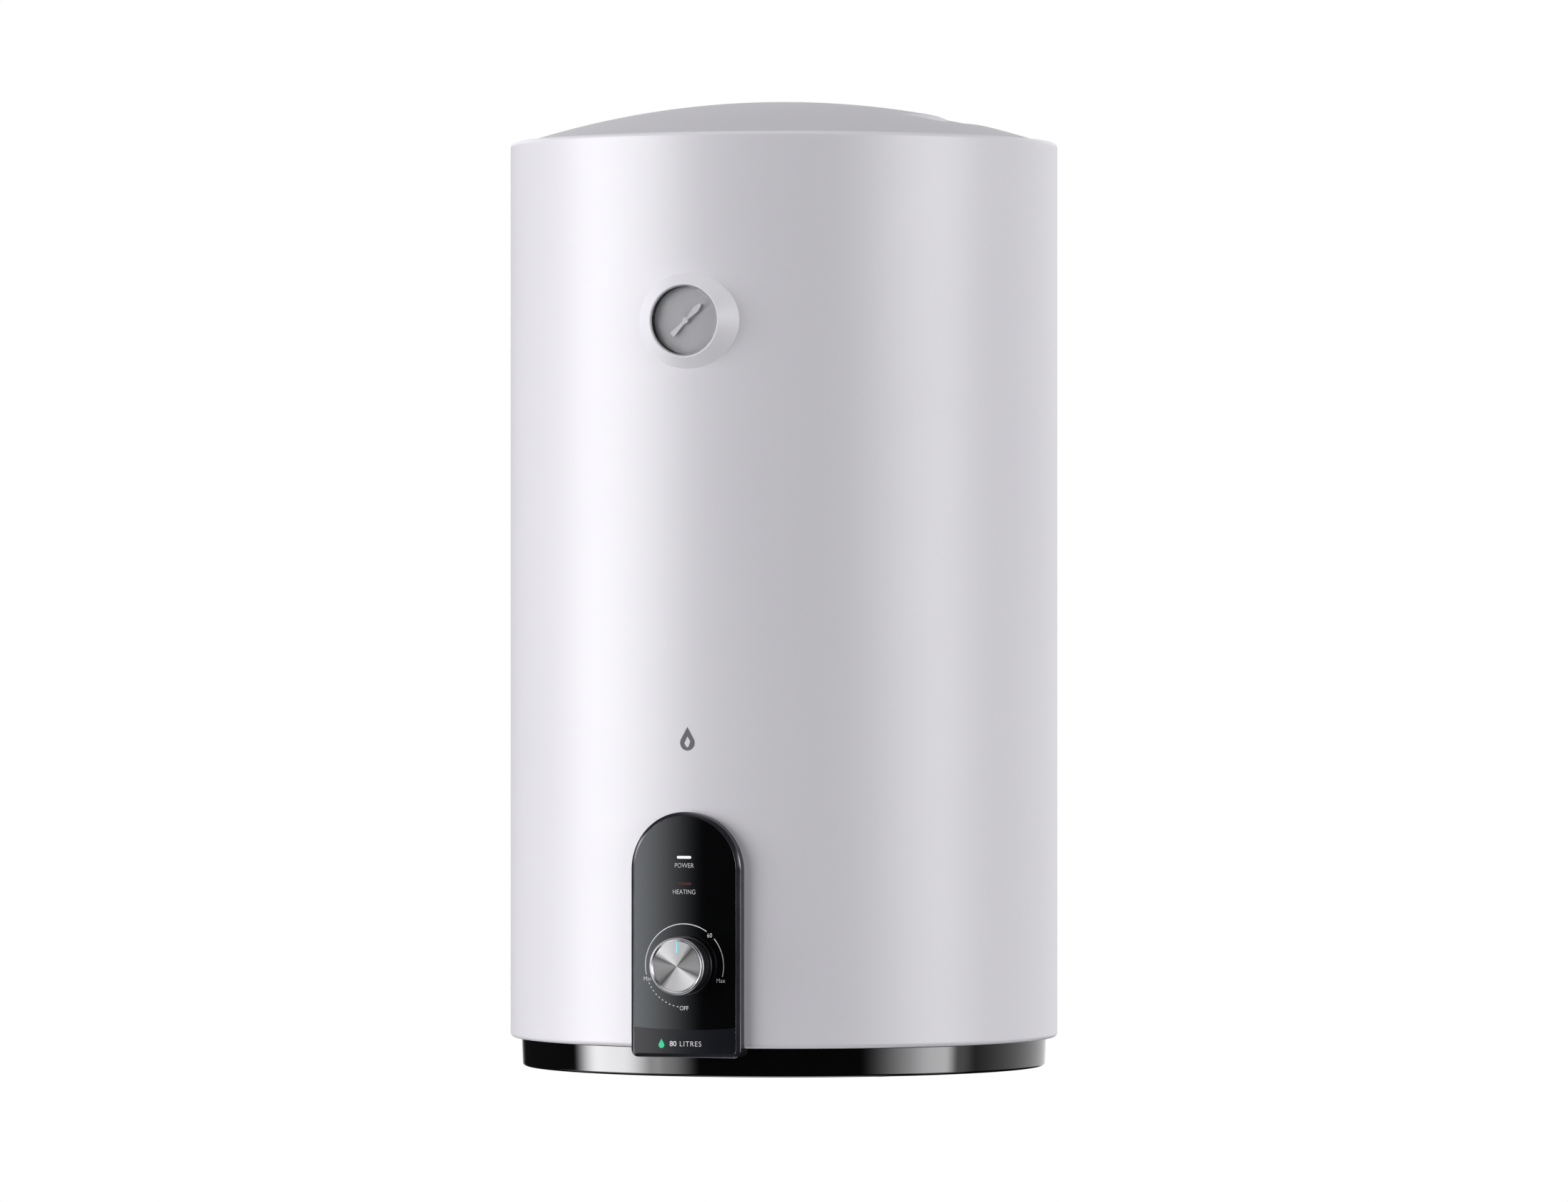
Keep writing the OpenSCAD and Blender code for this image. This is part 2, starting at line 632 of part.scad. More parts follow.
// Everything below the trim's hollow upper edge; lift raises the edge.
module below_trim(lift) facing_front(0) translate([0, trim_top + trim_r + lift, 200]) difference() {
    translate([-60, -trim_r - 60, 0]) cube([120, 80, 60]);
    translate([0, 0, -1]) cylinder(r = trim_r, h = 62, $fn = 1440);
}

module lamp_window(z, grow, n0, n1) facing_front(z) translate([0, 0, n0])
    linear_extrude(n1 - n0) slot_2d(lamp_w + 2 * grow, lamp_h + 2 * grow);

module face_plate() color([0.02, 0.02, 0.022]) difference() {
    panel_slab(face_inset, face_out - face_t, face_out);
    below_trim(0.05);
    for (z = lamp_z) lamp_window(z, 0.1, face_out - face_t - 1, face_out + 1);
    facing_front(knob_z) translate([0, 0, face_out - 5]) cylinder(r = 5.5, h = 10);
}

module face_lower_trim() color([0.09, 0.10, 0.12]) intersection() {
    panel_slab(face_inset, face_out - face_t, face_out);
    below_trim(0);
}

module power_lamp_lens() color([0.95, 0.96, 1.0])
    lamp_window(lamp_z[0], 0, face_out - face_t, face_out + 0.05);
module heating_lamp_lens() color([0.28, 0.05, 0.06])
    lamp_window(lamp_z[1], 0, face_out - face_t, face_out + 0.05);

module lamp_board() color([0.05, 0.28, 0.16]) {
    back = floor_out + floor_t;
    mid = (lamp_z[0] + lamp_z[1]) / 2;
    facing_front(mid) translate([-20, -18, back + 0.05]) cube([40, 36, 1.4]);
    for (z = lamp_z) facing_front(z) translate([-3, -1, back + 1.4]) cube([6, 2, 0.9]);
}

// ---------- knob and thermostat ----------
module knob_collar() color([0.05, 0.05, 0.055]) facing_front(knob_z)
    translate([0, 0, face_out]) tube(cap_r + 0.7, 7, collar_t);

body_back = face_out + collar_t + 0.4;
body_front = knob_front - 3;
body_r = cap_r - 0.9;

module knob_body() color([0.06, 0.06, 0.065]) facing_front(knob_z) {
    difference() {
        translate([0, 0, body_back]) cylinder(r = body_r, h = body_front - body_back);
        translate([0, 0, body_back - 1]) cylinder(r = body_r - 2.2, h = body_front - body_back - 1.2);
    }
    difference() {
        union() {
            translate([0, 0, body_back]) cylinder(r = 6, h = body_front - body_back - 1);
            for (a = [0, 120, 240]) rotate([0, 0, a + 90]) translate([5, -0.8, body_back + 2])
                cube([body_r - 6, 1.6, body_front - body_back - 3]);
        }
        translate([0, 0, body_back - 1]) cylinder(r = spindle_r, h = 9);
    }
}

disc_r = cap_r - 3.1;
disc_drop = 1.2;                        // how far the turned disc lies behind the rim
ring_r = cap_r - 1.7;                   // crest of the polished ring that slopes down to the disc
pointer_lo = 10.7;                      // inner end of the pointer's groove, from the knob's axis
pointer_w = 1.3;

module knob_cap() color([0.80, 0.80, 0.82]) facing_front(knob_z) difference() {
    rotate_extrude() polygon([
        [0, body_front], [body_r + 0.1, body_front], [body_r + 0.1, body_front - 0.8],
        [cap_r, body_front - 0.8], [cap_r, knob_front - 1.4], [cap_r - 1.2, knob_front],
        [ring_r, knob_front], [disc_r + 0.3, knob_front - disc_drop + 0.2],
        [disc_r + 0.3, knob_front - disc_drop - 0.4], [disc_r, knob_front - disc_drop - 0.4],
        [disc_r, knob_front - disc_drop], [0, knob_front - disc_drop]]);
    // groove for the blue pointer line
    translate([-pointer_w / 2, pointer_lo, knob_front - disc_drop - 0.4])
        cube([pointer_w, disc_r + 0.1 - pointer_lo, 0.4 + eps]);
}

module thermostat_spindle() color([0.75, 0.73, 0.66]) facing_front(knob_z) difference() {
    translate([0, 0, 210]) cylinder(r = spindle_r, h = body_back + 7.5 - 210);
    translate([-5, 1.8, face_out + 4]) cube([10, 5, 20]);
}

module thermostat_body() color([0.12, 0.12, 0.13]) facing_front(knob_z) difference() {
    union() {
        translate([-22, -17, 205]) cube([44, 34, floor_out - 205 - 2]);
        // steel yoke and bush
        translate([-20, -9, floor_out - 2.1]) cube([40, 18, 2]);
        translate([0, 0, floor_out - 3]) cylinder(r = 4.8, h = 8);
    }
    translate([0, 0, 209]) cylinder(r = spindle_r + 0.08, h = 40);
    for (s = [-1, 1]) translate([s * 14, 0, floor_out - 12]) cylinder(r = 1.6, h = 20);
}

// Thin copper tube from the thermostat down and across to the pocket in the flange.
capillary_route = [[-12, -206, knob_z - 17.5], [-12, -206, knob_z - 34], [-10, -190, knob_z - 52],
                   [0, -140, knob_z - 60], [10, -70, knob_z - 60], [16, -10, knob_z - 56],
                   [18, 16.6, plate_lo - 14], [18, 16.6, plate_lo - 2.5]];

module thermostat_capillary() color([0.72, 0.45, 0.30]) on_axis()
    sweep(smooth_route(capillary_route, 4), 0.9);

// ---------- electrics under the tank ----------
module electrics_bracket() color([0.76, 0.76, 0.74]) on_axis() difference() {
    translate([sheet_x[0], -sheet_half, shelf_lo]) cube([sheet_x[1] - sheet_x[0], 2 * sheet_half, bracket_t]);
    stud_places() translate([0, 0, shelf_lo - 5]) cylinder(r = stud_r + 0.5, h = 10);
    translate([earth_at.x, earth_at.y, shelf_lo - 5]) cylinder(r = 2.1, h = 10);
}

module terminal_block() color([0.90, 0.90, 0.86]) on_axis()
    translate([block_at.x, block_at.y, shelf_lo - block_size.z]) difference() {
        translate([-block_size.x / 2, -block_size.y / 2, 0]) cube(block_size);
        for (i = [-1 : 1]) translate([0, i * block_pitch, -1]) {
            cylinder(r = 3.4, h = 6);
            translate([-block_size.x / 2 - 1, -3, 5]) cube([6, 6, 7]);
            translate([block_size.x / 2 - 5, -3, 5]) cube([6, 6, 7]);
        }
    }

module terminal_screws() color([0.78, 0.72, 0.50]) on_axis() for (i = [-1 : 1])
    translate([block_at.x, block_at.y + i * block_pitch, shelf_lo - block_size.z + 1]) difference() {
        cylinder(r = 3, h = 3.9);
        translate([-4, -0.4, -1]) cube([8, 0.8, 2]);
    }

cutout_lo = shelf_lo - cutout_size.z;
button_r = 3.7;
shoulder_up = 3;                        // the seat of the button's shoulder above the cut-out's base
shoulder_hi = cutout_lo + shoulder_up + 1.55;

module cutout_body() color([0.86, 0.84, 0.78]) on_axis()
    translate([cutout_at.x, cutout_at.y, cutout_lo]) difference() {
        translate([-cutout_size.x / 2, -cutout_size.y / 2, 0]) cube(cutout_size);
        translate([0, 0, -1]) cylinder(r = button_r + 0.08, h = 4.5);
        translate([0, 0, shoulder_up]) cylinder(r = 6, h = 13);
    }

// Red manual reset button, held down on its shoulder by a small spring.
module cutout_reset_button() color([0.80, 0.10, 0.08]) on_axis()
    translate([cutout_at.x, cutout_at.y, 0]) {
        translate([0, 0, cutout_lo - 2.5]) cylinder(r = button_r, h = 6.5);
        translate([0, 0, shoulder_hi - 1.5]) cylinder(r = 5.6, h = 1.5);
        translate([0, 0, shoulder_hi - eps]) cylinder(r = 1.4, h = 6);
    }

spring_lo = shoulder_hi + 0.32;
spring_hi = cutout_lo + shoulder_up + 12.65;
spring_turns = 5;

module reset_spring() color([0.70, 0.70, 0.72]) on_axis()
    translate([cutout_at.x, cutout_at.y, 0])
        sweep([for (i = [0 : spring_turns * 12]) let (a = i * 30)
            [3 * cos(a), 3 * sin(a),
             spring_lo + (spring_hi - spring_lo) * i / (spring_turns * 12)]], 0.3, 6);

module earth_screw() color([0.78, 0.72, 0.50]) on_axis() translate([earth_at.x, earth_at.y, 0]) {
    translate([0, 0, shelf_lo - 3]) cylinder(r = 4, h = 3);
    translate([0, 0, shelf_lo]) cylinder(r = 2, h = 7);
}

module cable_gland() color([0.13, 0.13, 0.14]) on_axis() translate([gland_at.x, gland_at.y, 0])
    difference() {
        union() {
            translate([0, 0, base_z - 7]) cylinder(r = 11.5, h = 7, $fn = 6);
            translate([0, 0, base_z - eps]) cylinder(r = 8, h = 13);
        }
        translate([0, 0, base_z - 8]) cylinder(r = gland_bore_r, h = 30);
    }

module gland_nut() color([0.16, 0.16, 0.17]) on_axis()
    translate([gland_at.x, gland_at.y, floor_hi]) difference() {
        cylinder(r = 12, h = 5, $fn = 6);
        translate([0, 0, -1]) cylinder(r = 8.1, h = 7);
    }

// Wire routes, as points about the tank's axis.
tab_lo = plate_lo - 17;
live_routes = [
    [[120, -14, shelf_lo - 8.5], [110, -14, shelf_lo - 13], [102, -6, shelf_lo - 16],
     [98, 3.8, shelf_lo - 16]],
    [[80.2, 20, shelf_lo - 18], [70, 20, shelf_lo - 24], [40, 0, shelf_lo - 34],
     [10, -60, shelf_lo - 36], [-4, -150, shelf_lo - 34], [4, -196, shelf_lo - 24],
     [6, -208, shelf_lo - 4], [6, -208, knob_z - 17.5]],
    [[-4, -208, knob_z - 17.5], [-4, -208, shelf_lo - 6], [-12, -190, shelf_lo - 30],
     [-24, -120, shelf_lo - 34], [-30, -60, shelf_lo - 34], [-28, -24, shelf_lo - 32],
     [-28, -14, tab_lo - 10], [-28, -14, tab_lo - 0.4]]];
neutral_routes = [
    [[120, 2, shelf_lo - 8.5], [108, 2, shelf_lo - 20], [88, -4, shelf_lo - 34],
     [40, 22, shelf_lo - 38], [4, 22, shelf_lo - 36], [-8, 14, tab_lo - 12],
     [-8, 14, tab_lo - 0.4]]];
earth_routes = [
    [[120, -30, shelf_lo - 8.5], [106, -30, shelf_lo - 16], [86, -30, shelf_lo - 20],
     [earth_at.x, earth_at.y, shelf_lo - 14], [earth_at.x, earth_at.y, shelf_lo - 3.4]]];

module wires(routes) on_axis() for (p = routes) sweep(smooth_route(p, 3), 1.4);

module live_wires() color([0.35, 0.18, 0.10]) wires(live_routes);
module neutral_wires() color([0.10, 0.25, 0.60]) wires(neutral_routes);
module earth_wire() color([0.55, 0.70, 0.15]) wires(earth_routes);

// ---------- thermometer ----------
module gauge_bezel() color([0.92, 0.92, 0.94]) difference() {
    facing_front(gauge_z) rotate_extrude() polygon([
        [gauge_hole_r - 0.5, casing_r - 6], [window_r + 16, casing_r - 6],
        [window_r + 1.6, rim_out - 0.2], [window_r + 1, rim_out], [window_r + 0.5, rim_out],
        [window_r, rim_out - 0.4], [window_r, dial_out - 0.8], [gauge_hole_r - 0.5, dial_out - 0.8]]);
    on_axis() translate([0, 0, gauge_z - 60]) cylinder(r = casing_r + 0.1, h = 120, $fn = 720);
}

module gauge_lens() color([0.85, 0.90, 0.92, 0.25]) facing_front(gauge_z)
    translate([0, 0, rim_out - 2.2]) cylinder(r = window_r - 0.2, h = 1.2);

module gauge_dial() color([0.66, 0.67, 0.69]) facing_front(gauge_z)
    translate([0, 0, dial_out - 0.8]) tube(window_r - 0.2, 1.2, 0.8);

needle_out = dial_out + 2.2;

module gauge_needle() color([0.86, 0.86, 0.88]) facing_front(gauge_z) {
    rotate([0, 0, -needle_turn]) translate([0, 0, needle_out]) linear_extrude(0.6) polygon([
        [0, 18.9], [1.6, 16.6], [2.5, 12.5], [0.95, 2], [1.1, -3], [2.2, -16.4],
        [-2.2, -16.4], [-1.1, -3], [-0.95, 2], [-2.5, 12.5], [-1.6, 16.6]]);
    translate([0, 0, needle_out]) cylinder(r = 2.45, h = 1.2);
    translate([0, 0, case_out + 1.4]) cylinder(r = 0.8, h = needle_out + 0.5 - case_out - 1.4);
    translate([0, 0, coil_out]) cylinder(r = coil_hub_r, h = coil_w);
}

// Metal cup, bimetal coil and the stem that touches the tank.
module gauge_case() color([0.70, 0.70, 0.71]) facing_front(gauge_z) {
    cup = gauge_hole_r - 0.6;
    difference() {
        translate([0, 0, case_out]) cylinder(r = cup, h = dial_out - 0.8 - case_out);
        translate([0, 0, case_out + 1]) cylinder(r = cup - 0.8, h = 40);
    }
    translate([0, 0, tank_r + 0.4]) cylinder(r = 6, h = case_out - tank_r - 0.4 + eps);
    // flat spiral of the bimetal strip, and the post that holds its outer end
    turns = 5;
    step = 3;
    first = coil_hub_r + 0.4;
    spiral = [for (i = [0 : turns * 16]) let (a = i * 22.5, r = first + step * i / 16)
        [r * cos(a), r * sin(a)]];
    outer = [for (i = [turns * 16 : -1 : 0]) let (a = i * 22.5, r = first + 0.5 + step * i / 16)
        [r * cos(a), r * sin(a)]];
    translate([0, 0, coil_out]) linear_extrude(coil_w) polygon(concat(spiral, outer));
    translate([18.2, -1.2, case_out + 0.5]) cube([2.4, 2.4, coil_out + coil_w - case_out - 0.5]);
    translate([0, 0, case_out + 0.5]) tube(3, 0.85, 7);
}

outer_jacket();
top_cover();
bottom_cover();
bottom_cover_screws();
insulation_foam();
upper_wall_bracket();
lower_wall_bracket();
bracket_bolts();
bracket_bosses();
tank_shell();
tank_top_head();
tank_bottom_head();
flange_collar();
flange_studs();
flange_nuts();
flange_gasket();
flange_plate();
heating_element();
element_insulators();
element_tabs();
sensor_pocket();
magnesium_anode();
anode_nut();
cold_inlet_pipe();
inlet_diffuser();
hot_outlet_pipe();
cold_pipe_collar();
hot_pipe_collar();
electrics_bracket();
terminal_block();
terminal_screws();
cutout_body();
cutout_reset_button();
reset_spring();
cutout_bulb();
earth_screw();
cable_gland();
gland_nut();
live_wires();
neutral_wires();
earth_wire();
control_housing();
control_bezel();
face_plate();
face_lower_trim();
power_lamp_lens();
heating_lamp_lens();
lamp_board();
knob_collar();
knob_body();
knob_cap();
thermostat_spindle();
thermostat_body();
thermostat_bulb();
thermostat_capillary();
gauge_bezel();
gauge_lens();
gauge_dial();
gauge_needle();
gauge_case();
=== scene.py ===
"""The looks of an upright, wall-hung electric storage water heater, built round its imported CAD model.

Row frame, in metres: +Z is up, the front faces -Y, and the wall is the plane Y = 0. "Out" is the distance
from the tank's upright axis towards the front. Sizes written here as plain numbers are in millimetres.
"""

import math

import bmesh
import bpy
from mathutils import Matrix, Vector


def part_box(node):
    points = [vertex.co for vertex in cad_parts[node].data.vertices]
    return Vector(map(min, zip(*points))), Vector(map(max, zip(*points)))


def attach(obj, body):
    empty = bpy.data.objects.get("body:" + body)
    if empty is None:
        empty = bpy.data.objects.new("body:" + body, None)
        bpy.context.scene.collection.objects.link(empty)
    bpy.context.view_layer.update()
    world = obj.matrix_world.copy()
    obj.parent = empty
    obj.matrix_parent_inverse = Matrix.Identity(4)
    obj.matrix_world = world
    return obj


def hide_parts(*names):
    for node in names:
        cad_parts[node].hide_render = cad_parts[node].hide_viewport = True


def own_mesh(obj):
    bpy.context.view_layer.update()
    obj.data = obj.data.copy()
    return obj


MM = 0.001
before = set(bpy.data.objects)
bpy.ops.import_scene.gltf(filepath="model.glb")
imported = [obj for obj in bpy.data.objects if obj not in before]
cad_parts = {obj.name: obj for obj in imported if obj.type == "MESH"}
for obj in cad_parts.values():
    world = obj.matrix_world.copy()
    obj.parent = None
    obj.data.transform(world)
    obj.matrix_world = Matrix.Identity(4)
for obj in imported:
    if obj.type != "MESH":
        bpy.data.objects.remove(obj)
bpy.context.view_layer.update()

HEATER = "heater"
KNOB = "thermostat_knob"


# -------------------- sizes, in millimetres, from the frame
def low(node):
    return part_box(node)[0] / MM


def high(node):
    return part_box(node)[1] / MM


AXIS_Y = (low("tank_shell").y + high("tank_shell").y) / 2


def out_front(node):
    """How far the node's front stands out from the tank's axis."""
    return AXIS_Y - low(node).y


def mid_z(node):
    return (low(node).z + high(node).z) / 2


def upright_axis(node):
    """Where the node's upright middle line stands, as (x, y)."""
    return (low(node).x + high(node).x) / 2, (low(node).y + high(node).y) / 2


CASING_R = min(high("outer_jacket").x, -low("outer_jacket").x)
CASING_TOP = high("outer_jacket").z
CASING_BOT = low("outer_jacket").z
CASING_EDGE = 3.5
DOME_R = high("top_cover").x
DOME_TOP = high("top_cover").z
BASE_R = high("bottom_cover").x
BASE_BOT = low("bottom_cover").z

PANEL_HALF = high("control_bezel").x
PANEL_LOW = low("control_bezel").z
PANEL_TOP = high("control_bezel").z
ARCH_Z = PANEL_TOP - PANEL_HALF
FACE_OUT = out_front("face_plate")
CROWN_R = 540
KNOB_Z = mid_z("knob_cap")
KNOB_FRONT = out_front("knob_cap")
CAP_R = high("knob_cap").x
GAUGE_Z = mid_z("gauge_lens")
WINDOW_R = high("gauge_lens").x + 0.2
RIM_OUT = out_front("gauge_bezel")


# -------------------- mesh helpers
UPRIGHT = Matrix.Translation((0, AXIS_Y, 0))
SHARP = 38  # edges that turn by more degrees than this stay sharp


def facing_front(z):
    """Local Z points out of the front, local X to the right and local Y up, about the tank's axis."""
    return Matrix.Translation((0, AXIS_Y, z)) @ Matrix.Rotation(math.pi / 2, 4, "X")


def add_object(name, data):
    obj = bpy.data.objects.new(name, data)
    bpy.context.scene.collection.objects.link(obj)
    return obj


def make_object(name, verts, faces, place=Matrix.Identity(4), sharp=SHARP):
    """A mesh from millimetre coordinates, smooth except at edges sharper than the given angle."""
    mesh = bpy.data.meshes.new(name)
    mesh.from_pydata([tuple((place @ Vector(v)) * MM) for v in verts], [], faces)
    obj = add_object(name, mesh)
    tidy_mesh(obj, sharp)
    return obj


def tidy_mesh(obj, sharp=SHARP):
    """Merges doubled points, turns the faces outward and sets the shading."""
    bm = bmesh.new()
    bm.from_mesh(obj.data)
    bmesh.ops.remove_doubles(bm, verts=bm.verts, dist=1e-7)
    bmesh.ops.dissolve_degenerate(bm, edges=bm.edges, dist=1e-8)
    bmesh.ops.recalc_face_normals(bm, faces=bm.faces)
    bm.to_mesh(obj.data)
    bm.free()
    for face in obj.data.polygons:
        face.use_smooth = True
    obj.data.set_sharp_from_angle(angle=math.radians(sharp))
    obj.data.update()


def rounded(corners, steps=5):
    """A path through (x, y, radius) corners, each replaced by an arc of that radius."""
    points = []
    count = len(corners)
    for i, (x, y, radius) in enumerate(corners):
        here = Vector((x, y))
        before = (Vector(corners[i - 1][:2]) - here).normalized()
        after = (Vector(corners[(i + 1) % count][:2]) - here).normalized()
        half = before.angle(after, math.pi) / 2
        if radius <= 0 or half > math.pi / 2 - 0.01:
            points.append((x, y))
            continue
        reach = radius / math.tan(half)
        centre = here + (before + after).normalized() * (radius / math.sin(half))
        start = here + before * reach - centre
        sweep = math.pi - 2 * half
        if before.x * after.y - before.y * after.x > 0:
            sweep = -sweep
        for k in range(steps + 1):
            a = sweep * k / steps
            points.append((centre.x + start.x * math.cos(a) - start.y * math.sin(a),
                           centre.y + start.x * math.sin(a) + start.y * math.cos(a)))
    return points


def held_flat(profile, reach=0.35):
    """Adds a point close to each end of a long straight run, so that smooth shading keeps the run straight."""
    points = []
    for i, (x, y) in enumerate(profile):
        here, ahead = Vector((x, y)), Vector(profile[(i + 1) % len(profile)])
        points.append((x, y))
        length = (ahead - here).length
        if length > 6 * reach:
            for share in (reach / length, 1 - reach / length):
                points.append(tuple(here.lerp(ahead, share)))
    return points


def lathe(name, profile, place=UPRIGHT, segments=192, shape=None, sharp=SHARP):
    """Turns a closed (radius, height) outline about local Z. shape(radius, height, angle) may move a point."""
    verts, faces, rings = [], [], []
    for radius, height in held_flat(profile):
        ring = []
        for k in range(1 if radius < 1e-6 else segments):
            a = 2 * math.pi * k / segments
            r, h = (radius, height) if shape is None else shape(radius, height, a)
            ring.append(len(verts))
            verts.append((r * math.cos(a), r * math.sin(a), h))
        rings.append(ring)
    for i, ring in enumerate(rings):
        following = rings[(i + 1) % len(rings)]
        if len(ring) == 1 and len(following) == 1:
            continue
        for k in range(segments):
            a, b = ring[k % len(ring)], ring[(k + 1) % len(ring)]
            c, d = following[(k + 1) % len(following)], following[k % len(following)]
            faces.append([v for v, w in zip((a, b, c, d), (None, a, b, c)) if v != w])
    faces = [f[:-1] if f[0] == f[-1] else f for f in faces]
    return make_object(name, verts, faces, place, sharp)


def prism(name, outline, depth, place):
    """A flat outline drawn in local X and Y, from local Z depth[0] to depth[1]."""
    count = len(outline)
    verts = [(x, y, z) for z in depth for x, y in outline]
    faces = [list(range(count))[::-1], list(range(count, 2 * count))]
    faces += [[k, (k + 1) % count, count + (k + 1) % count, count + k] for k in range(count)]
    return make_object(name, verts, faces, place)


def cut(obj, cutters):
    """Takes the cutters away from obj."""
    for cutter in cutters:
        boolean = obj.modifiers.new("cut", "BOOLEAN")
        boolean.operation = "DIFFERENCE"
        boolean.solver = "EXACT"
        boolean.object = cutter
        apply_modifiers(obj)
    for cutter in cutters:
        bpy.data.objects.remove(cutter)


def apply_modifiers(obj):
    bpy.context.view_layer.update()
    graph = bpy.context.evaluated_depsgraph_get()
    mesh = bpy.data.meshes.new_from_object(obj.evaluated_get(graph))
    obj.modifiers.clear()
    obj.data = mesh


def join(name, objects):
    """One object from several whose meshes are in the row frame."""
    bm = bmesh.new()
    for obj in objects:
        bm.from_mesh(obj.data)
        bpy.data.objects.remove(obj)
    mesh = bpy.data.meshes.new(name)
    bm.to_mesh(mesh)
    bm.free()
    obj = add_object(name, mesh)
    tidy_mesh(obj)
    return obj


def hold(obj, material, body=HEATER, replaces=()):
    """Gives a new piece its material and body, and hides the CAD nodes that it stands for."""
    obj.data.materials.clear()
    obj.data.materials.append(material)
    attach(obj, body)
    if replaces:
        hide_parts(*replaces)
    return obj


# -------------------- materials
def math_node(tree, operation, a, b=0.0):
    """A Math node between sockets or plain numbers."""
    node = tree.nodes.new("ShaderNodeMath")
    node.operation = operation
    for socket, value in zip(node.inputs, (a, b)):
        if isinstance(value, (int, float)):
            socket.default_value = value
        else:
            tree.links.new(value, socket)
    return node.outputs[0]


class Shader:
    """A Principled material and short ways to add procedural detail to it."""

    def __init__(self, name, color, roughness, **sockets):
        """Further sockets are named with _ for each space."""
        self.material = bpy.data.materials.new(name)
        self.material.use_nodes = True
        self.tree = self.material.node_tree
        self.bsdf = self.tree.nodes["Principled BSDF"]
        self.color = color
        self.bsdf.inputs["Base Color"].default_value = (*color, 1)
        self.bsdf.inputs["Roughness"].default_value = roughness
        for socket, value in sockets.items():
            self.bsdf.inputs[socket.replace("_", " ")].default_value = value
        self.coords = self.node("ShaderNodeTexCoord").outputs["Object"]
        self.height = None

    def node(self, kind, **settings):
        node = self.tree.nodes.new(kind)
        for key, value in settings.items():
            setattr(node, key, value)
        return node

    def link(self, a, b):
        self.tree.links.new(a, b)

    def noise(self, scale, detail=3.0, stretch=(1, 1, 1)):
        """Noise with about `scale` blobs per metre."""
        mapping = self.node("ShaderNodeMapping")
        mapping.inputs["Scale"].default_value = stretch
        texture = self.node("ShaderNodeTexNoise")
        texture.inputs["Scale"].default_value = scale
        texture.inputs["Detail"].default_value = detail
        self.link(self.coords, mapping.inputs["Vector"])
        self.link(mapping.outputs["Vector"], texture.inputs["Vector"])
        return texture.outputs["Fac"]

    def maths(self, operation, a, b=0.0):
        return math_node(self.tree, operation, a, b)

    def ramp(self, value, low_out, high_out, low_in=0.3, high_in=0.7):
        node = self.node("ShaderNodeMapRange")
        node.inputs["From Min"].default_value = low_in
        node.inputs["From Max"].default_value = high_in
        node.inputs["To Min"].default_value = low_out
        node.inputs["To Max"].default_value = high_out
        self.link(value, node.inputs["Value"])
        return node.outputs["Result"]

    def tint(self, value, other, low_in=0.3, high_in=0.7):
        """Mixes the base colour towards another where value is high."""
        mix = self.node("ShaderNodeMix", data_type="RGBA")
        mix.inputs["A"].default_value = (*self.color, 1)
        mix.inputs["B"].default_value = (*other, 1)
        self.link(self.ramp(value, 0, 1, low_in, high_in), mix.inputs["Factor"])
        self.link(mix.outputs["Result"], self.bsdf.inputs["Base Color"])

    def rough(self, value, smooth, coarse):
        """Lets the roughness follow value."""
        self.link(self.ramp(value, smooth, coarse), self.bsdf.inputs["Roughness"])

    def bump(self, value, depth):
        """Adds a bump of the given depth in millimetres."""
        node = self.node("ShaderNodeBump")
        node.inputs["Strength"].default_value = 1.0
        node.inputs["Distance"].default_value = depth * MM
        self.link(value, node.inputs["Height"])
        if self.height is not None:
            self.link(self.height, node.inputs["Normal"])
        self.height = node.outputs["Normal"]
        self.link(self.height, self.bsdf.inputs["Normal"])


def moulded(name, color, roughness, grain=900, depth=0.02, **sockets):
    """Moulded plastic: a slight unevenness of colour and polish, and a fine grain."""
    s = Shader(name, color, roughness, **sockets)
    broad = s.noise(14, 4)
    s.tint(broad, tuple(c * 0.93 for c in color))
    s.rough(s.noise(60, 3), roughness * 0.9, roughness * 1.12)
    s.bump(s.noise(grain, 2), depth)
    return s


def metal(name, color, roughness, stretch=(1, 1, 1), scale=700, depth=0.01, **sockets):
    """Bare or plated metal: drawn or rolled streaks, with duller patches."""
    s = Shader(name, color, roughness, Metallic=1.0, **sockets)
    s.tint(s.noise(35, 5), tuple(c * 0.78 for c in color))
    s.rough(s.noise(90, 4), roughness * 0.8, roughness * 1.35)
    s.bump(s.noise(scale, 3, stretch), depth)
    return s


WHITE = (0.775, 0.77, 0.80)


def casing_paint():
    """Baked enamel: nearly even, with a faint orange peel."""
    s = Shader("casing_paint", WHITE, 0.38, IOR=1.6)
    s.tint(s.noise(5, 3), (0.76, 0.755, 0.79))
    s.rough(s.noise(25, 3), 0.37, 0.39)
    s.bump(s.noise(420, 2), 0.006)
    return s.material


def cover_plastic_and_shade():
    """Moulded white plastic, a little duller than the enamel. Its greyer colour is partly the plastic's own and
    partly painted shade, keeping the upward-facing cover darker.
    """
    s = Shader("cover_plastic_and_shade", (0.69, 0.685, 0.71), 0.56, IOR=1.4)
    s.tint(s.noise(9, 3), (0.675, 0.67, 0.695))
    s.rough(s.noise(40, 3), 0.55, 0.61)
    s.bump(s.noise(900, 2), 0.02)
    return s.material


def gloss_black(name, color=(0.0018, 0.0019, 0.0022), roughness=0.05, ior=1.65, specular=(1, 1, 1)):
    """Dark lacquered or moulded plastic. specular tints what it reflects."""
    s = Shader(name, color, roughness, IOR=ior, Specular_Tint=(*specular, 1))
    s.tint(s.noise(30, 3), tuple(c * 1.35 for c in color))
    s.rough(s.noise(70, 3), roughness * 0.85, roughness * 1.15)
    s.bump(s.noise(260, 2), 0.0012)
    return s.material


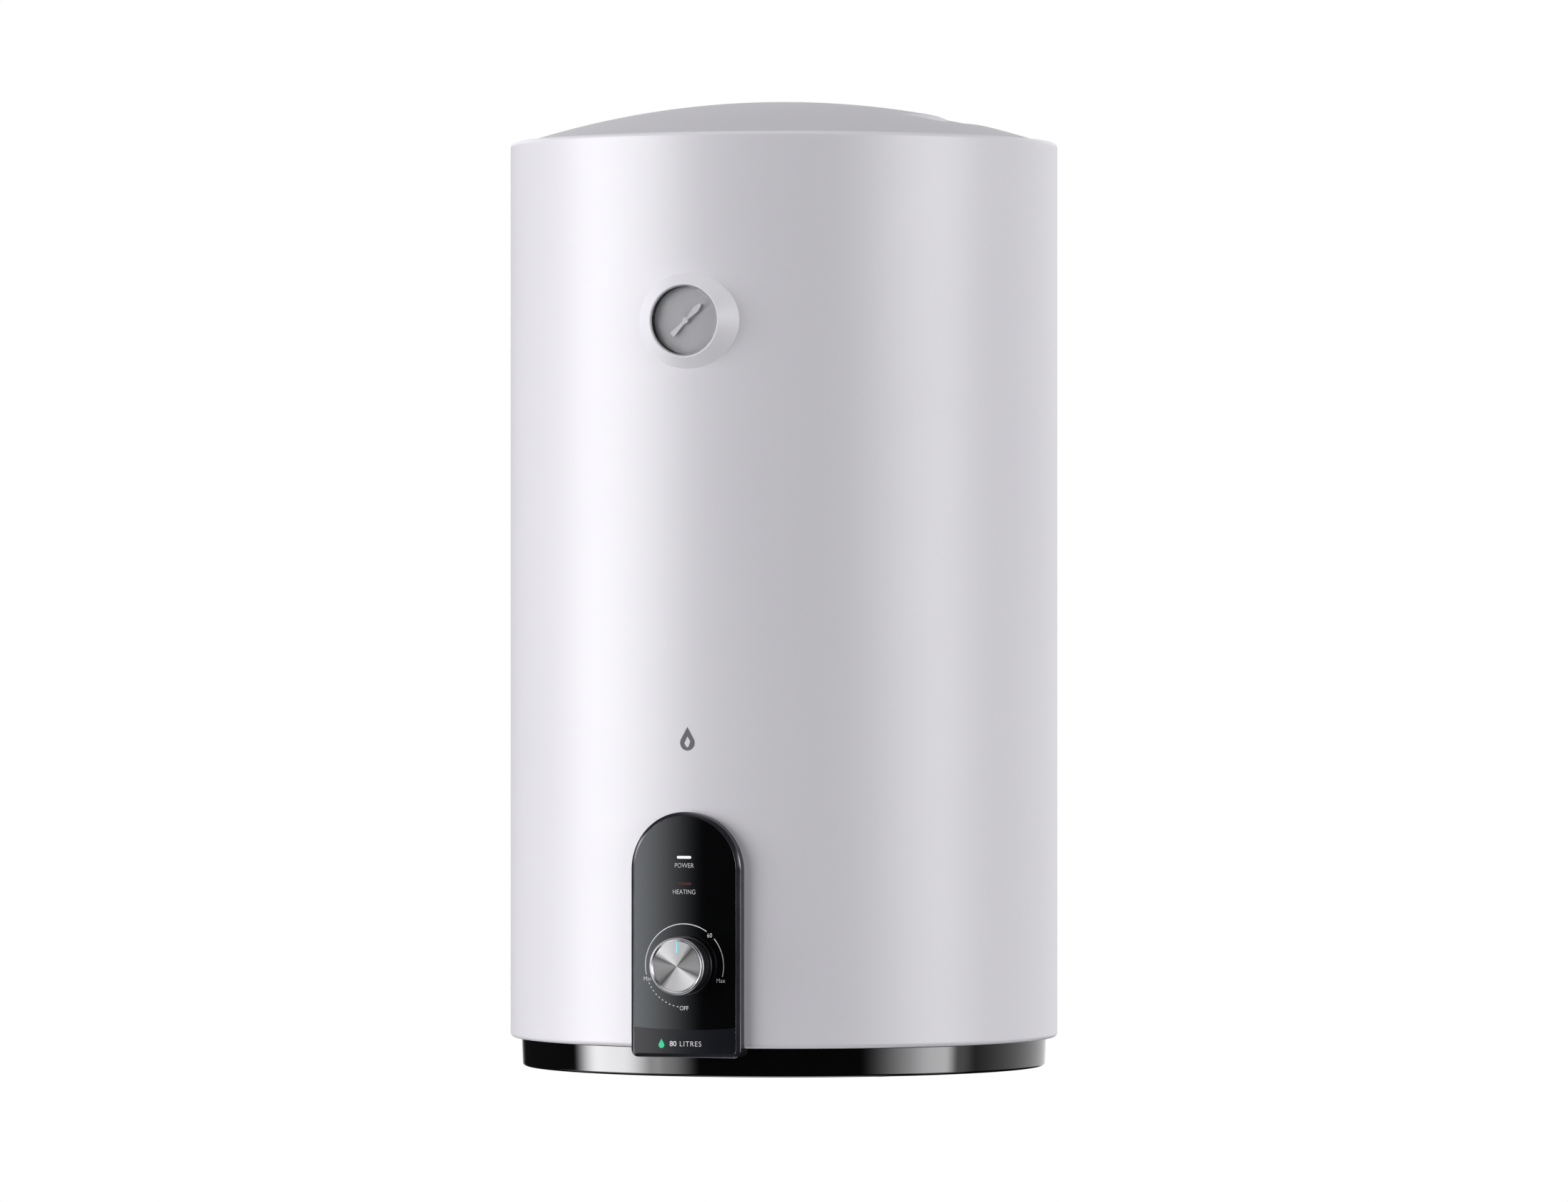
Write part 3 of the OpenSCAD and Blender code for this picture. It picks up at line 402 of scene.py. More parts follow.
def glow(name, color, strength, base):
    """A plastic that gives off a little light of its own."""
    s = moulded(name, base, 0.3)
    s.bsdf.inputs["Emission Color"].default_value = (*color, 1)
    s.bsdf.inputs["Emission Strength"].default_value = strength
    return s.material


PAINT = casing_paint()
COVER = cover_plastic_and_shade()
BASE_BLACK = gloss_black("base_gloss")
PANEL_BLACK = gloss_black("panel_gloss", specular=(0.94, 1.0, 1.03))
TRIM = gloss_black("trim_slate", (0.0085, 0.0095, 0.0125), 0.14, 1.42)
HOUSING = gloss_black("housing_satin", (0.010, 0.010, 0.012), 0.24)
BEZEL = gloss_black("bezel_gunmetal", (0.018, 0.018, 0.023), 0.15, 2.0)
PRINT = moulded("print_white", (0.80, 0.80, 0.82), 0.5, depth=0.004).material
PRINT_GREEN = moulded("print_green", (0.012, 0.82, 0.36), 0.5, depth=0.004).material
PRINT_GREY = moulded("print_grey", (0.13, 0.13, 0.145), 0.4, depth=0.004).material
KNOB_BLACK = gloss_black("knob_black", (0.010, 0.010, 0.012), 0.3)
GAUGE_WHITE = moulded("gauge_white", (0.83, 0.825, 0.855), 0.42, depth=0.01).material
WINDOW_LIP = moulded("window_lip", (0.45, 0.45, 0.47), 0.2, depth=0.004).material
# The pointer is no lamp: its glow is painted light that keeps the blue line bright.
POINTER_BLUE_GLOW = glow("pointer_blue_glow", (0.25, 0.80, 1.0), 0.35, (0.20, 0.72, 0.95))


# Painted reflection on the turned face: two bright fans in each half turn, with darker gaps between them,
# painted into the base colour. Each fan is where it begins and ends, in degrees clockwise from the pointer, and
# its grey.
REFLECTION_FANS = [(-60, 35, 0.50), (50, 105, 0.20)]
REFLECTION_GAP_GREY = 0.07  # grey of the gaps
REFLECTION_FAN_EDGE = 16  # width of a fan's soft edge, in degrees


def spun_aluminium_painted_reflection():
    """Turned face: concentric tool marks, and a painted reflection that makes the base colour brighter and
    darker in sectors.
    """
    s = Shader("spun_aluminium_painted_reflection", (0.80, 0.80, 0.81), 0.40,
               Metallic=1.0, Anisotropic=0.4, Anisotropic_Rotation=0.25)
    tangent = s.node("ShaderNodeTangent", direction_type="RADIAL", axis="Y")
    s.link(tangent.outputs["Tangent"], s.bsdf.inputs["Tangent"])
    place = s.node("ShaderNodeMapping")
    place.inputs["Location"].default_value = (0, 0, -KNOB_Z * MM)
    place.inputs["Scale"].default_value = (1, 0, 1)
    length = s.node("ShaderNodeVectorMath", operation="LENGTH")
    s.link(s.coords, place.inputs["Vector"])
    s.link(place.outputs["Vector"], length.inputs[0])
    rings = s.node("ShaderNodeTexNoise", noise_dimensions="1D")
    rings.inputs["Scale"].default_value = 2600
    rings.inputs["Detail"].default_value = 2
    s.link(length.outputs["Value"], rings.inputs["W"])
    s.bump(rings.outputs["Fac"], 0.004)
    parts = s.node("ShaderNodeSeparateXYZ")
    s.link(place.outputs["Vector"], parts.inputs["Vector"])
    angle = s.maths("ARCTAN2", parts.outputs["X"], parts.outputs["Z"])
    edge = math.radians(REFLECTION_FAN_EDGE) / 2
    grey = REFLECTION_GAP_GREY
    for begin, end, level in REFLECTION_FANS:
        # the cosine of twice the angle from the fan's middle is the same in both half turns
        middle, half = math.radians(begin + end) / 2, math.radians(end - begin) / 2
        near = s.maths("COSINE", s.maths("MULTIPLY", s.maths("SUBTRACT", angle, middle), 2))
        fan = s.ramp(near, 0, level - REFLECTION_GAP_GREY, math.cos(2 * (half + edge)), math.cos(2 * (half - edge)))
        grey = s.maths("ADD", fan, grey)
    # the painted reflection goes into the base colour, so it turns with the knob
    s.link(grey, s.bsdf.inputs["Base Color"])
    return s.material


SPUN = spun_aluminium_painted_reflection()
BRIGHT = metal("bright_aluminium", (0.66, 0.66, 0.68), 0.30, depth=0.003).material
KNURL = metal("knurled_aluminium", (0.50, 0.50, 0.52), 0.42, depth=0.01).material
ZINC = metal("zinc_plate", (0.62, 0.63, 0.65), 0.34).material
ZINC_YELLOW = metal("zinc_plate_yellow", (0.66, 0.61, 0.48), 0.32).material


# -------------------- casing
def casing_outline():
    """The sheet's section, with its rolled edges turned in under the covers."""
    sheet, lip = 0.6, DOME_R - 9
    outer = [(lip, CASING_BOT, 0), (CASING_R, CASING_BOT, CASING_EDGE),
             (CASING_R, CASING_TOP, CASING_EDGE), (lip, CASING_TOP, 0)]
    r = CASING_R - sheet
    inner = [(lip, CASING_TOP - sheet, 0), (r, CASING_TOP - sheet, CASING_EDGE - sheet),
             (r, CASING_BOT + sheet, CASING_EDGE - sheet), (lip, CASING_BOT + sheet, 0)]
    return rounded(outer + inner, steps=8)


def build_casing():
    """The round shell, with a folded seam down its back."""
    shell = lathe("casing", casing_outline(), segments=256)
    half, raised, sunk, end = 5.0, 0.55, 0.4, 8
    outline = rounded([(CASING_R - sunk, -half, 0), (CASING_R + raised, -half, 0.5),
                       (CASING_R + raised, half, 0.5), (CASING_R - sunk, half, 0)], 4)
    seam = prism("casing_seam", outline, (CASING_BOT + end, CASING_TOP - end),
                 UPRIGHT @ Matrix.Rotation(math.pi / 2, 4, "Z"))
    casing = join("casing", [shell, seam])
    hold(casing, PAINT, replaces=["outer_jacket"])


build_casing()


# -------------------- top cover with its two grip scoops
SCOOP_IN = 127  # distance of a scoop's steep inner wall from the axis
SCOOP_OUT = 171  # where its floor runs out into the dome
SCOOP_HALF = 62  # half its length
SCOOP_DEPTH = 5.6
SCOOP_STEEP = (-1, 4)  # where the inner wall begins and ends, from SCOOP_IN
SCOOP_FLOOR = 12  # where the floor begins to rise, from SCOOP_IN
SCOOP_FADE = 24  # length of each fading end
SCOOP_BOW = 6  # how far the ends curve in
COVER_WALL = 1.5
COVER_INSET = 0.4  # from the cover's outer edge to where the edge starts to round
SPHERE_R = (DOME_R ** 2 + (DOME_TOP - CASING_TOP) ** 2) / (2 * (DOME_TOP - CASING_TOP))


def smooth_step(x, start, end):
    t = min(max((x - start) / (end - start), 0), 1)
    return t * t * (3 - 2 * t)


def dome_height(x, y):
    """Height of the cover's upper face, measured from the axis."""
    z = DOME_TOP - SPHERE_R + math.sqrt(SPHERE_R ** 2 - x * x - y * y)
    along = 1 - smooth_step(abs(y), SCOOP_HALF - SCOOP_FADE, SCOOP_HALF)
    bow = abs(x) + SCOOP_BOW * (y / SCOOP_HALF) ** 2
    inner = smooth_step(bow, SCOOP_IN + SCOOP_STEEP[0], SCOOP_IN + SCOOP_STEEP[1])
    outer = 1 - smooth_step(bow, SCOOP_IN + SCOOP_FLOOR, SCOOP_OUT)
    return z - SCOOP_DEPTH * along * inner * outer


def circle(radius, z, segments):
    """Points round the axis, at the height z or at z(x, y)."""
    points = []
    for k in range(segments):
        a = 2 * math.pi * k / segments
        x, y = radius * math.cos(a), radius * math.sin(a)
        points.append((x, y, z(x, y) if callable(z) else z))
    return points


def band(first, second):
    """Faces between two rings of point numbers."""
    count = len(first)
    return [[first[k], second[k], second[(k + 1) % count], first[(k + 1) % count]] for k in range(count)]


def build_top_cover():
    """A shell of two domed layers, closed by a rounded edge that stands on the casing's lip."""
    rings, segments = 110, 288
    verts, faces = [], []
    for depth, largest in ((0, DOME_R - COVER_INSET), (COVER_WALL, DOME_R - COVER_WALL)):
        for k in range(1, rings + 1):
            radius = min(DOME_R * k / rings, largest)
            verts += circle(radius, lambda x, y: dome_height(x, y) - depth, segments)
        verts.append((0, 0, dome_height(0, 0) - depth))
    layer = rings * segments + 1
    for base in (0, layer):
        for i in range(rings - 1):
            for k in range(segments):
                a, b = base + i * segments + k, base + i * segments + (k + 1) % segments
                faces.append([a, b, b + segments, a + segments])
        for k in range(segments):
            faces.append([base + layer - 1, base + k, base + (k + 1) % segments])
    rim_z = dome_height(DOME_R - COVER_INSET, 0)
    foot_z = CASING_TOP + 0.05
    edge = [(DOME_R - 0.08, rim_z - 0.5), (DOME_R, rim_z - 0.9),
            (DOME_R, foot_z), (DOME_R - COVER_WALL, foot_z)]
    outer = (rings - 1) * segments
    previous = list(range(outer, outer + segments))
    for radius, z in edge:
        ring = list(range(len(verts), len(verts) + segments))
        verts += circle(radius, z, segments)
        faces += band(previous, ring)
        previous = ring
    faces += band(previous, list(range(layer + outer, layer + outer + segments)))
    cover = make_object("dome_cover", verts, faces, UPRIGHT, sharp=50)
    hold(cover, COVER, replaces=["top_cover"])


build_top_cover()


# -------------------- black base
BASE_WALL = 2.5
BASE_DRAW_IN = 0.9  # how much narrower the base is at its foot
SCREW_CIRCLE_R = 200
SCREW_HOLE_R = 4.6
GLAND_HOLE_R = 8
SLEEVE_R = 15.8  # the part of a pipe collar that passes through the base
VENT_HALF = 20  # half the straight part of a vent slot
VENT_END_R = 2
VENT_SPACING = 11
CUT = (BASE_BOT - 1, BASE_BOT + 5)  # heights that the cutters reach


def hole(place, radius, segments):
    """A round cutter through the bottom of the base."""
    return lathe("cutter", [(0, CUT[0]), (radius, CUT[0]), (radius, CUT[1]), (0, CUT[1])], place, segments)


def vent(x):
    """A long slot with round ends, from front to back."""
    turns = [math.pi * (k / 8 - 0.5) for k in range(9)]
    outline = [(VENT_END_R * math.sin(t), VENT_HALF + VENT_END_R * math.cos(t)) for t in turns]
    outline += [(-u, -v) for u, v in outline]
    return prism("cutter", outline[::-1], CUT, UPRIGHT @ Matrix.Translation((x, 0, 0)))


def build_base():
    """The black bottom cover, with its screw holes, vents, pipe holes and cable hole."""
    r, r_low = BASE_R, BASE_R - BASE_DRAW_IN
    rise = CASING_BOT - 0.3
    profile = rounded([(0, BASE_BOT, 0), (r_low, BASE_BOT, 2.0), (r, rise, 0.3), (r - BASE_WALL, rise, 0.3),
                       (r_low - BASE_WALL, BASE_BOT + BASE_WALL, 1.0), (0, BASE_BOT + BASE_WALL, 0)], 6)
    base = lathe("base_cover", profile, segments=256)
    cutters = []
    for a in range(45, 360, 90):
        turn = UPRIGHT @ Matrix.Rotation(math.radians(a), 4, "Z")
        cutters.append(hole(turn @ Matrix.Translation((SCREW_CIRCLE_R, 0, 0)), SCREW_HOLE_R, 32))
    cutters += [vent(VENT_SPACING * i) for i in range(-3, 4)]
    for node, radius in (("cold_pipe_collar", SLEEVE_R), ("hot_pipe_collar", SLEEVE_R),
                         ("cable_gland", GLAND_HOLE_R)):
        cutters.append(hole(Matrix.Translation((*upright_axis(node), 0)), radius, 48))
    cut(base, cutters)
    tidy_mesh(base)
    for face in base.data.polygons:
        face.use_smooth = abs(face.normal.z) < 0.999
    hold(base, BASE_BLACK, replaces=["bottom_cover"])


build_base()


# -------------------- control panel
CHAMFER = 3.2
CORNER_R = 6
CORNER_LEAST = 1.2
BEZEL_DEPTH = 3.6  # from the crowned face back to where the side walls end
HOUSING_BACK = 209  # where the side walls go into the casing
HOUSING_WALL = 2.2
FACE_THICK = 1.6


def panel_loop(inset):
    """The arched outline, drawn in by inset, as (x, z) points: always the same number of points."""
    r, bottom = PANEL_HALF - inset, PANEL_LOW + inset
    c = max(CORNER_R - inset, CORNER_LEAST)
    points = []
    for side, start in ((-1, 180), (1, 270)):
        points += [(side * (r - c) + c * math.cos(math.radians(start + 90 * k / 10)),
                    bottom + c + c * math.sin(math.radians(start + 90 * k / 10))) for k in range(11)]
    points += [(r, bottom + c + (ARCH_Z - bottom - c) * k / 6) for k in range(1, 6)]
    points += [(r * math.cos(math.pi * k / 72), ARCH_Z + r * math.sin(math.pi * k / 72)) for k in range(73)]
    points += [(-r, ARCH_Z - (ARCH_Z - bottom - c) * k / 6) for k in range(1, 6)]
    return points


def crown(x):
    """How far out the crowned face is at x."""
    return FACE_OUT - x * x / (2 * CROWN_R)


def panel_loft(name, rings, sharp=SHARP):
    """Joins panel loops, each (inset, out) with out a function of x, into a closed band."""
    verts, faces = [], []
    for inset, out in rings:
        verts += [(x, AXIS_Y - out(x), z) for x, z in panel_loop(inset)]
    count = len(verts) // len(rings)
    for i in range(len(rings)):
        a, b = i * count, (i + 1) % len(rings) * count
        faces += [[a + k, a + (k + 1) % count, b + (k + 1) % count, b + k] for k in range(count)]
    return make_object(name, verts, faces, sharp=sharp)


def build_housing():
    """The side walls, from the casing out to the bezel."""
    def back(x):
        return HOUSING_BACK

    def front(x):
        return crown(x) - BEZEL_DEPTH

    housing = panel_loft("control_housing_shell", [(0.15, back), (0.15, front), (HOUSING_WALL, front),
                                                   (HOUSING_WALL, back)])
    hold(housing, HOUSING, replaces=["control_housing"])


def build_bezel():
    """Side, rounded arris, sloping face, and a small step down to the glossy face."""
    def below(depth):
        return lambda x: crown(x) - depth

    arris = [(0.0, below(3.5)), (0.0, below(2.35)), (0.04, below(2.15)),
             (0.16, below(1.98)), (0.36, below(1.85))]
    crest = [(CHAMFER - 0.25, below(0.18)), (CHAMFER - 0.1, below(0.12)), (CHAMFER + 0.08, below(0.12))]
    inside = [(CHAMFER + 0.2, below(0.25)), (CHAMFER + 0.2, below(1.2)), (CHAMFER, below(3.5))]
    rings = arris + crest + inside
    bezel = panel_loft("panel_bezel", rings, sharp=60)
    hold(bezel, BEZEL, replaces=["control_bezel"])


TRIM_SAG = 1.9  # how much lower the trim's upper edge is in the middle
TRIM_MID = high("face_lower_trim").z - TRIM_SAG


def trim_edge(x):
    return TRIM_MID + TRIM_SAG * (x / (PANEL_HALF - CHAMFER)) ** 2


def build_face(name, inset, lower, upper):
    """A crowned plate between two edges given as functions of x."""
    half, columns = PANEL_HALF - inset, 64
    verts, faces = [], []
    for k in range(columns + 1):
        x = -half * math.cos(math.pi * k / columns)
        bottom, top = lower(x), max(upper(x), lower(x) + 0.02)
        for depth in (0, FACE_THICK):
            verts += [(x, AXIS_Y - crown(x) + depth, z) for z in (bottom, top)]
    for k in range(columns):
        a, b = 4 * k, 4 * (k + 1)
        faces += [[a, b, b + 1, a + 1], [a + 2, a + 3, b + 3, b + 2],
                  [a, a + 2, b + 2, b], [a + 1, b + 1, b + 3, a + 3]]
    faces += [[0, 1, 3, 2], [4 * columns, 4 * columns + 2, 4 * columns + 3, 4 * columns + 1]]
    return make_object(name, verts, faces, sharp=40)


def build_panel_face():
    """The glossy face and the slate trim under it, a hair's breadth apart."""
    inset = CHAMFER + 0.3
    half, c = PANEL_HALF - inset, max(CORNER_R - inset, CORNER_LEAST)

    def arch(x):
        return ARCH_Z + math.sqrt(max(half * half - x * x, 0))

    def bottom(x):
        past = max(abs(x) - (half - c), 0)
        return PANEL_LOW + inset + c - math.sqrt(max(c * c - past * past, 0))

    face = build_face("panel_face", inset, lambda x: trim_edge(x) + 0.05, arch)
    hold(face, PANEL_BLACK, replaces=["face_plate"])
    trim = build_face("panel_lower_trim", inset, bottom, trim_edge)
    hold(trim, TRIM, replaces=["face_lower_trim"])


build_housing()
build_bezel()
build_panel_face()


# -------------------- printing
INK = 0.05  # half the thickness of the printing
DIAL_R = 33.4
LABEL_DROP = 6.5  # from a lamp to the middle of its label
CAPITAL = 0.729  # height of a capital letter, as a share of the font's size


def print_strip(name, points, width):
    """A printed line of the given width through (x, z) points on the crowned face."""
    verts, faces = [], []
    count = len(points)
    for i, (x, z) in enumerate(points):
        ahead, behind = points[min(i + 1, count - 1)], points[max(i - 1, 0)]
        along = (Vector(ahead) - Vector(behind)).normalized()
        across = Vector((-along.y, along.x)) * width / 2
        for side in (-1, 1):
            px, pz = x + side * across.x, z + side * across.y
            verts += [(px, AXIS_Y - crown(px) - h, pz) for h in (-INK, INK)]
    for i in range(count - 1):
        a, b = 4 * i, 4 * (i + 1)
        faces += [[a + 1, b + 1, b + 3, a + 3], [a, a + 2, b + 2, b],
                  [a, b, b + 1, a + 1], [a + 2, a + 3, b + 3, b + 2]]
    last = 4 * (count - 1)
    faces += [[0, 1, 3, 2], [last, last + 2, last + 3, last + 1]]
    return make_object(name, verts, faces, sharp=50)


def dial_arc(name, radius, start, end, width=0.7):
    """A printed arc round the knob. Angles are in degrees clockwise from the top."""
    steps = max(2, int(abs(end - start) / 2.5))
    points = []
    for k in range(steps + 1):
        a = math.radians(start + (end - start) * k / steps)
        points.append((radius * math.sin(a), KNOB_Z + radius * math.cos(a)))
    return print_strip(name, points, width)


def lettering(name, words, x, z, cap_height, weight=-0.06, narrow=0.87, spacing=1.0):
    """Generic words or numbers, centred at (x, z), laid on the crowned face."""
    curve = bpy.data.curves.new(name, "FONT")
    curve.body = words
    curve.align_x = "CENTER"
    curve.align_y = "CENTER"
    curve.size = cap_height / CAPITAL
    curve.offset = weight
    curve.space_character = spacing
    curve.extrude = INK
    curve.resolution_u = 6
    flat = add_object(name, curve)
    bpy.context.view_layer.update()
    mesh = bpy.data.meshes.new_from_object(flat.evaluated_get(bpy.context.evaluated_depsgraph_get()))
    bpy.data.objects.remove(flat)
    heights = [v.co.y for v in mesh.vertices]
    middle = (min(heights) + max(heights)) / 2
    for v in mesh.vertices:
        px, pz = x + v.co.x * narrow, z + v.co.y - middle
        v.co = Vector((px, AXIS_Y - crown(px) - v.co.z, pz)) * MM
    obj = add_object(name, mesh)
    tidy_mesh(obj, 40)
    return obj


def build_dial_print():
    """The arc from Min to Max, broken by the 60, and the dashed part from Min to OFF."""
    hold(dial_arc("dial_arc_low", DIAL_R, -103, 35), PRINT)
    hold(dial_arc("dial_arc_high", DIAL_R, 49.4, 104.9), PRINT)
    first, apart, half = -115.8, 6.07, 1.2
    dashes = []
    for k in range(10):
        middle = first - apart * k
        dashes.append(dial_arc("dash", DIAL_R, middle - half, middle + half, 0.75))
    hold(join("dial_dashes", dashes), PRINT)
    words_round = (("dial_min", "Min", -108.8, 33.7), ("dial_60", "60", 41.5, 32.6),
                   ("dial_max", "Max", 110.7, 33.0), ("dial_off", "OFF", 180, 34.0))
    for name, words, angle, r in words_round:
        a = math.radians(angle)
        x, z = r * math.sin(a), KNOB_Z + r * math.cos(a)
        hold(lettering(name, words, x, z, 3.6, 0.0, 0.9), PRINT)


def build_lamp_labels():
    for node, words, size in (("power_lamp_lens", "POWER", 4.0), ("heating_lamp_lens", "HEATING", 3.9)):
        label = lettering("label_" + words.lower(), words, 0, mid_z(node) - LABEL_DROP, size, -0.075)
        hold(label, PRINT)


def drop_outline(height):
    """A plain water drop, pointed at the top."""
    r = height * 0.33
    points = []
    for k in range(33):
        a = math.radians(-215 + 250 * k / 32)
        points.append((r * math.cos(a), r * math.sin(a)))
    tip = height - r
    shoulder = tip - height * 0.16
    return points + [(r * 0.28, shoulder), (0, tip), (-r * 0.28, shoulder)]


def flat_print(name, outline, x, z, surface):
    """A printed shape at (x, z) on a surface that stands out by surface(x)."""
    count = len(outline)
    verts = [(x + u, AXIS_Y - surface(x + u) - h, z + v) for h in (-INK, INK) for u, v in outline]
    faces = [list(range(count)), list(range(2 * count - 1, count - 1, -1))]
    faces += [[k, (k + 1) % count, count + (k + 1) % count, count + k] for k in range(count)]
    return make_object(name, verts, faces, sharp=50)


def build_marks():
    """Plain marks: a green drop with the capacity on the trim, and a small grey drop on the casing."""
    z = (PANEL_LOW + TRIM_MID) / 2
    below_gauge = 338
    hold(flat_print("capacity_drop", drop_outline(7.4), -19.5, z - 1.2, crown), PRINT_GREEN)
    hold(lettering("capacity_number", "80", -9.5, z, 4.4, 0.06, 1.0), PRINT)
    hold(lettering("capacity_unit", "LITRES", 5.4, z, 4.4, -0.04, 0.98, 1.12), PRINT)

    def casing_face(x):
        return math.sqrt(CASING_R ** 2 - x * x)

    mark = flat_print("casing_drop", drop_outline(19), 0, GAUGE_Z - below_gauge, casing_face)
    hold(mark, PRINT_GREY)


build_dial_print()
build_lamp_labels()
build_marks()


# -------------------- knob
FLUTES = 72
FLUTE_DEPTH = 0.28
TEETH = 170  # of the knurling
CAP_DEPTH = 2.6
SPINDLE_HOLE_R = 3.05


def build_knob_grip(place, back, front):
    """The black grip, fluted along its side."""
    radius = high("knob_body").x

    def fluted(r, h, a):
        if r > radius - 0.05 and back + 1.4 < h < front - 0.4:
            return r - FLUTE_DEPTH * (0.5 + 0.5 * math.cos(FLUTES * a)), h
        return r, h

    side = [(radius, back, 0.5), (radius, back + 1.5, 0), (radius, front - 0.5, 0), (radius, front, 0.2)]
    profile = rounded([(SPINDLE_HOLE_R, back, 0)] + side + [(SPINDLE_HOLE_R, front, 0)], 4)
    grip = lathe("knob_grip", profile, place, FLUTES * 8, fluted)
    hold(grip, KNOB_BLACK, KNOB, ["knob_body"])


def build_knob_rim(place, back):
    """The cap's outer rim, with a finely knurled front edge."""
    def knurled(r, h, a):
        wave = 0.5 + 0.5 * math.cos(TEETH * a + (h - KNOB_FRONT) * 5)
        near_edge = smooth_step(r, CAP_R * 0.955, CAP_R * 0.975)
        return r - 0.10 * wave * near_edge, h - 0.08 * wave * near_edge

    # each step is how far in from the cap's side and how far behind its front
    steps = [(0, 1.3), (0.12, 0.85), (0.35, 0.5), (0.7, 0.25), (1.1, 0.2), (1.25, 0.4), (1.3, 1.4)]
    profile = [(20, back), (CAP_R - 0.15, back), (CAP_R, back + 0.3)]
    profile += [(CAP_R - inward, KNOB_FRONT - behind) for inward, behind in steps]
    profile.append((20, KNOB_FRONT - 1.4))
    rim = lathe("knob_rim", profile, place, TEETH * 6, knurled)
    hold(rim, KNURL, KNOB, ["knob_cap"])


def build_knob():
    place = facing_front(KNOB_Z)
    skirt_r, skirt_front = high("knob_collar").x, out_front("knob_collar")
    foot = FACE_OUT - 0.5
    skirt = rounded([(7, foot, 0), (skirt_r, foot, 0), (skirt_r, skirt_front, 0.6), (7, skirt_front, 0)], 5)
    hold(lathe("knob_skirt", skirt, place), KNOB_BLACK, replaces=["knob_collar"])

    cap_back = KNOB_FRONT - CAP_DEPTH
    build_knob_grip(place, skirt_front + 0.4, cap_back)
    build_knob_rim(place, cap_back)

    disc_r, disc_front = CAP_R * 0.868, KNOB_FRONT - 1.2
    ring_in, ring_out = disc_r + 0.08, CAP_R - 1.5
    ring = rounded([(ring_in, cap_back, 0), (ring_out, cap_back, 0), (ring_out, KNOB_FRONT, 0.22),
                    (CAP_R - 1.85, KNOB_FRONT, 0.2), (ring_in, disc_front + 0.2, 0.1)], 5)
    hold(lathe("knob_polished_ring", ring, place), BRIGHT, KNOB)
    disc = [(0, cap_back), (disc_r, cap_back), (disc_r, disc_front - 0.2), (disc_r - 0.05, disc_front - 0.05),
            (disc_r - 0.2, disc_front), (disc_r * 0.5, disc_front), (0, disc_front)]
    hold(lathe("knob_disc", disc, place), SPUN, KNOB)
    half, start, end = 0.5, 10.7, disc_r - 0.1
    pointer = rounded([(-half, start, 0.2), (half, start, 0.2), (half, end, 0.1), (-half, end, 0.1)], 3)
    hold(prism("knob_pointer", pointer, (disc_front - 0.3, disc_front + 0.05), place), POINTER_BLUE_GLOW,
         KNOB)


build_knob()


# -------------------- thermometer
def build_gauge():
    """The sloping white ring, the dark sleeve inside it and the lip that holds the window."""
    place = facing_front(GAUGE_Z)
    rim_r = WINDOW_R + 1.3
    root = CASING_R - 6                 # behind the casing's surface
    root_r = rim_r + (RIM_OUT - root) * 1.02
    slope = rounded([(WINDOW_R - 1.5, root, 0), (root_r, root, 0),
                     (rim_r, RIM_OUT, 0.5), (WINDOW_R, RIM_OUT, 0.3), (WINDOW_R, RIM_OUT - 1.0, 0),
                     (WINDOW_R - 0.1, FACE_OUT - 6.5, 0), (WINDOW_R - 1.5, FACE_OUT - 6.5, 0)], 5)
    bezel = lathe("gauge_ring", slope, place)
    hold(bezel, GAUGE_WHITE, replaces=["gauge_bezel"])
    sleeve = rounded([(WINDOW_R - 1.4, RIM_OUT - 6.6, 0), (WINDOW_R - 0.3, RIM_OUT - 6.6, 0),
                      (WINDOW_R - 0.3, RIM_OUT - 2.6, 0.1), (WINDOW_R - 1.0, RIM_OUT - 2.6, 0.1),
                      (WINDOW_R - 1.0, RIM_OUT - 3.2, 0)], 3)
    hold(lathe("gauge_sleeve", sleeve, place), HOUSING)
    glass = out_front("gauge_lens")
    lip = rounded([(WINDOW_R - 1.0, glass + 0.05, 0.1), (WINDOW_R - 0.35, glass + 0.05, 0.1),
                   (WINDOW_R - 0.35, glass + 0.5, 0.15), (WINDOW_R - 1.0, glass + 0.4, 0.15)], 3)
    hold(lathe("gauge_window_lip", lip, place), WINDOW_LIP)


build_gauge()


# -------------------- pipes, collars, fixings
PLATED = metal("plated_pipe", (0.60, 0.61, 0.63), 0.3, (1, 1, 0.1)).material
PITCH = 1.814  # of a G1/2 thread
THREAD_DEPTH = 1.162
PIPE_WALL = 2.48
FLANGE = BASE_BOT - low("cold_pipe_collar").z


def build_pipe(node, name):
    """A plain tube whose lower end carries a helical pipe thread."""
    x, y = upright_axis(node)
    outer, bottom, top = high(node).x - x, low(node).z, high(node).z
    bore, neck = outer - PIPE_WALL, outer - 0.6
    thread_top = BASE_BOT - FLANGE - 0.4

    def threaded(r, h, a):
        if r < neck - 0.01 or h > thread_top:
            return r, h
        wave = abs(2 * ((h / PITCH + a / (2 * math.pi)) % 1) - 1)
        fade = smooth_step(h, thread_top, thread_top - PITCH)
        crest = min(outer, neck - 1.0 + 0.9 * (h - bottom))
        return max(crest - THREAD_DEPTH * wave * fade, outer - THREAD_DEPTH - 0.3), h

    rings = int((thread_top - bottom) / (PITCH / 8))
    profile = [(bore, bottom + 0.4), (bore + 0.4, bottom)]
    profile += [(outer, bottom + (thread_top - bottom) * k / rings) for k in range(rings + 1)]
    profile += [(neck, thread_top + 0.05), (neck, top), (bore, top)]
    pipe = lathe(name, profile, Matrix.Translation((x, y, 0)), 96, threaded, 50)
    hold(pipe, PLATED, replaces=[node])


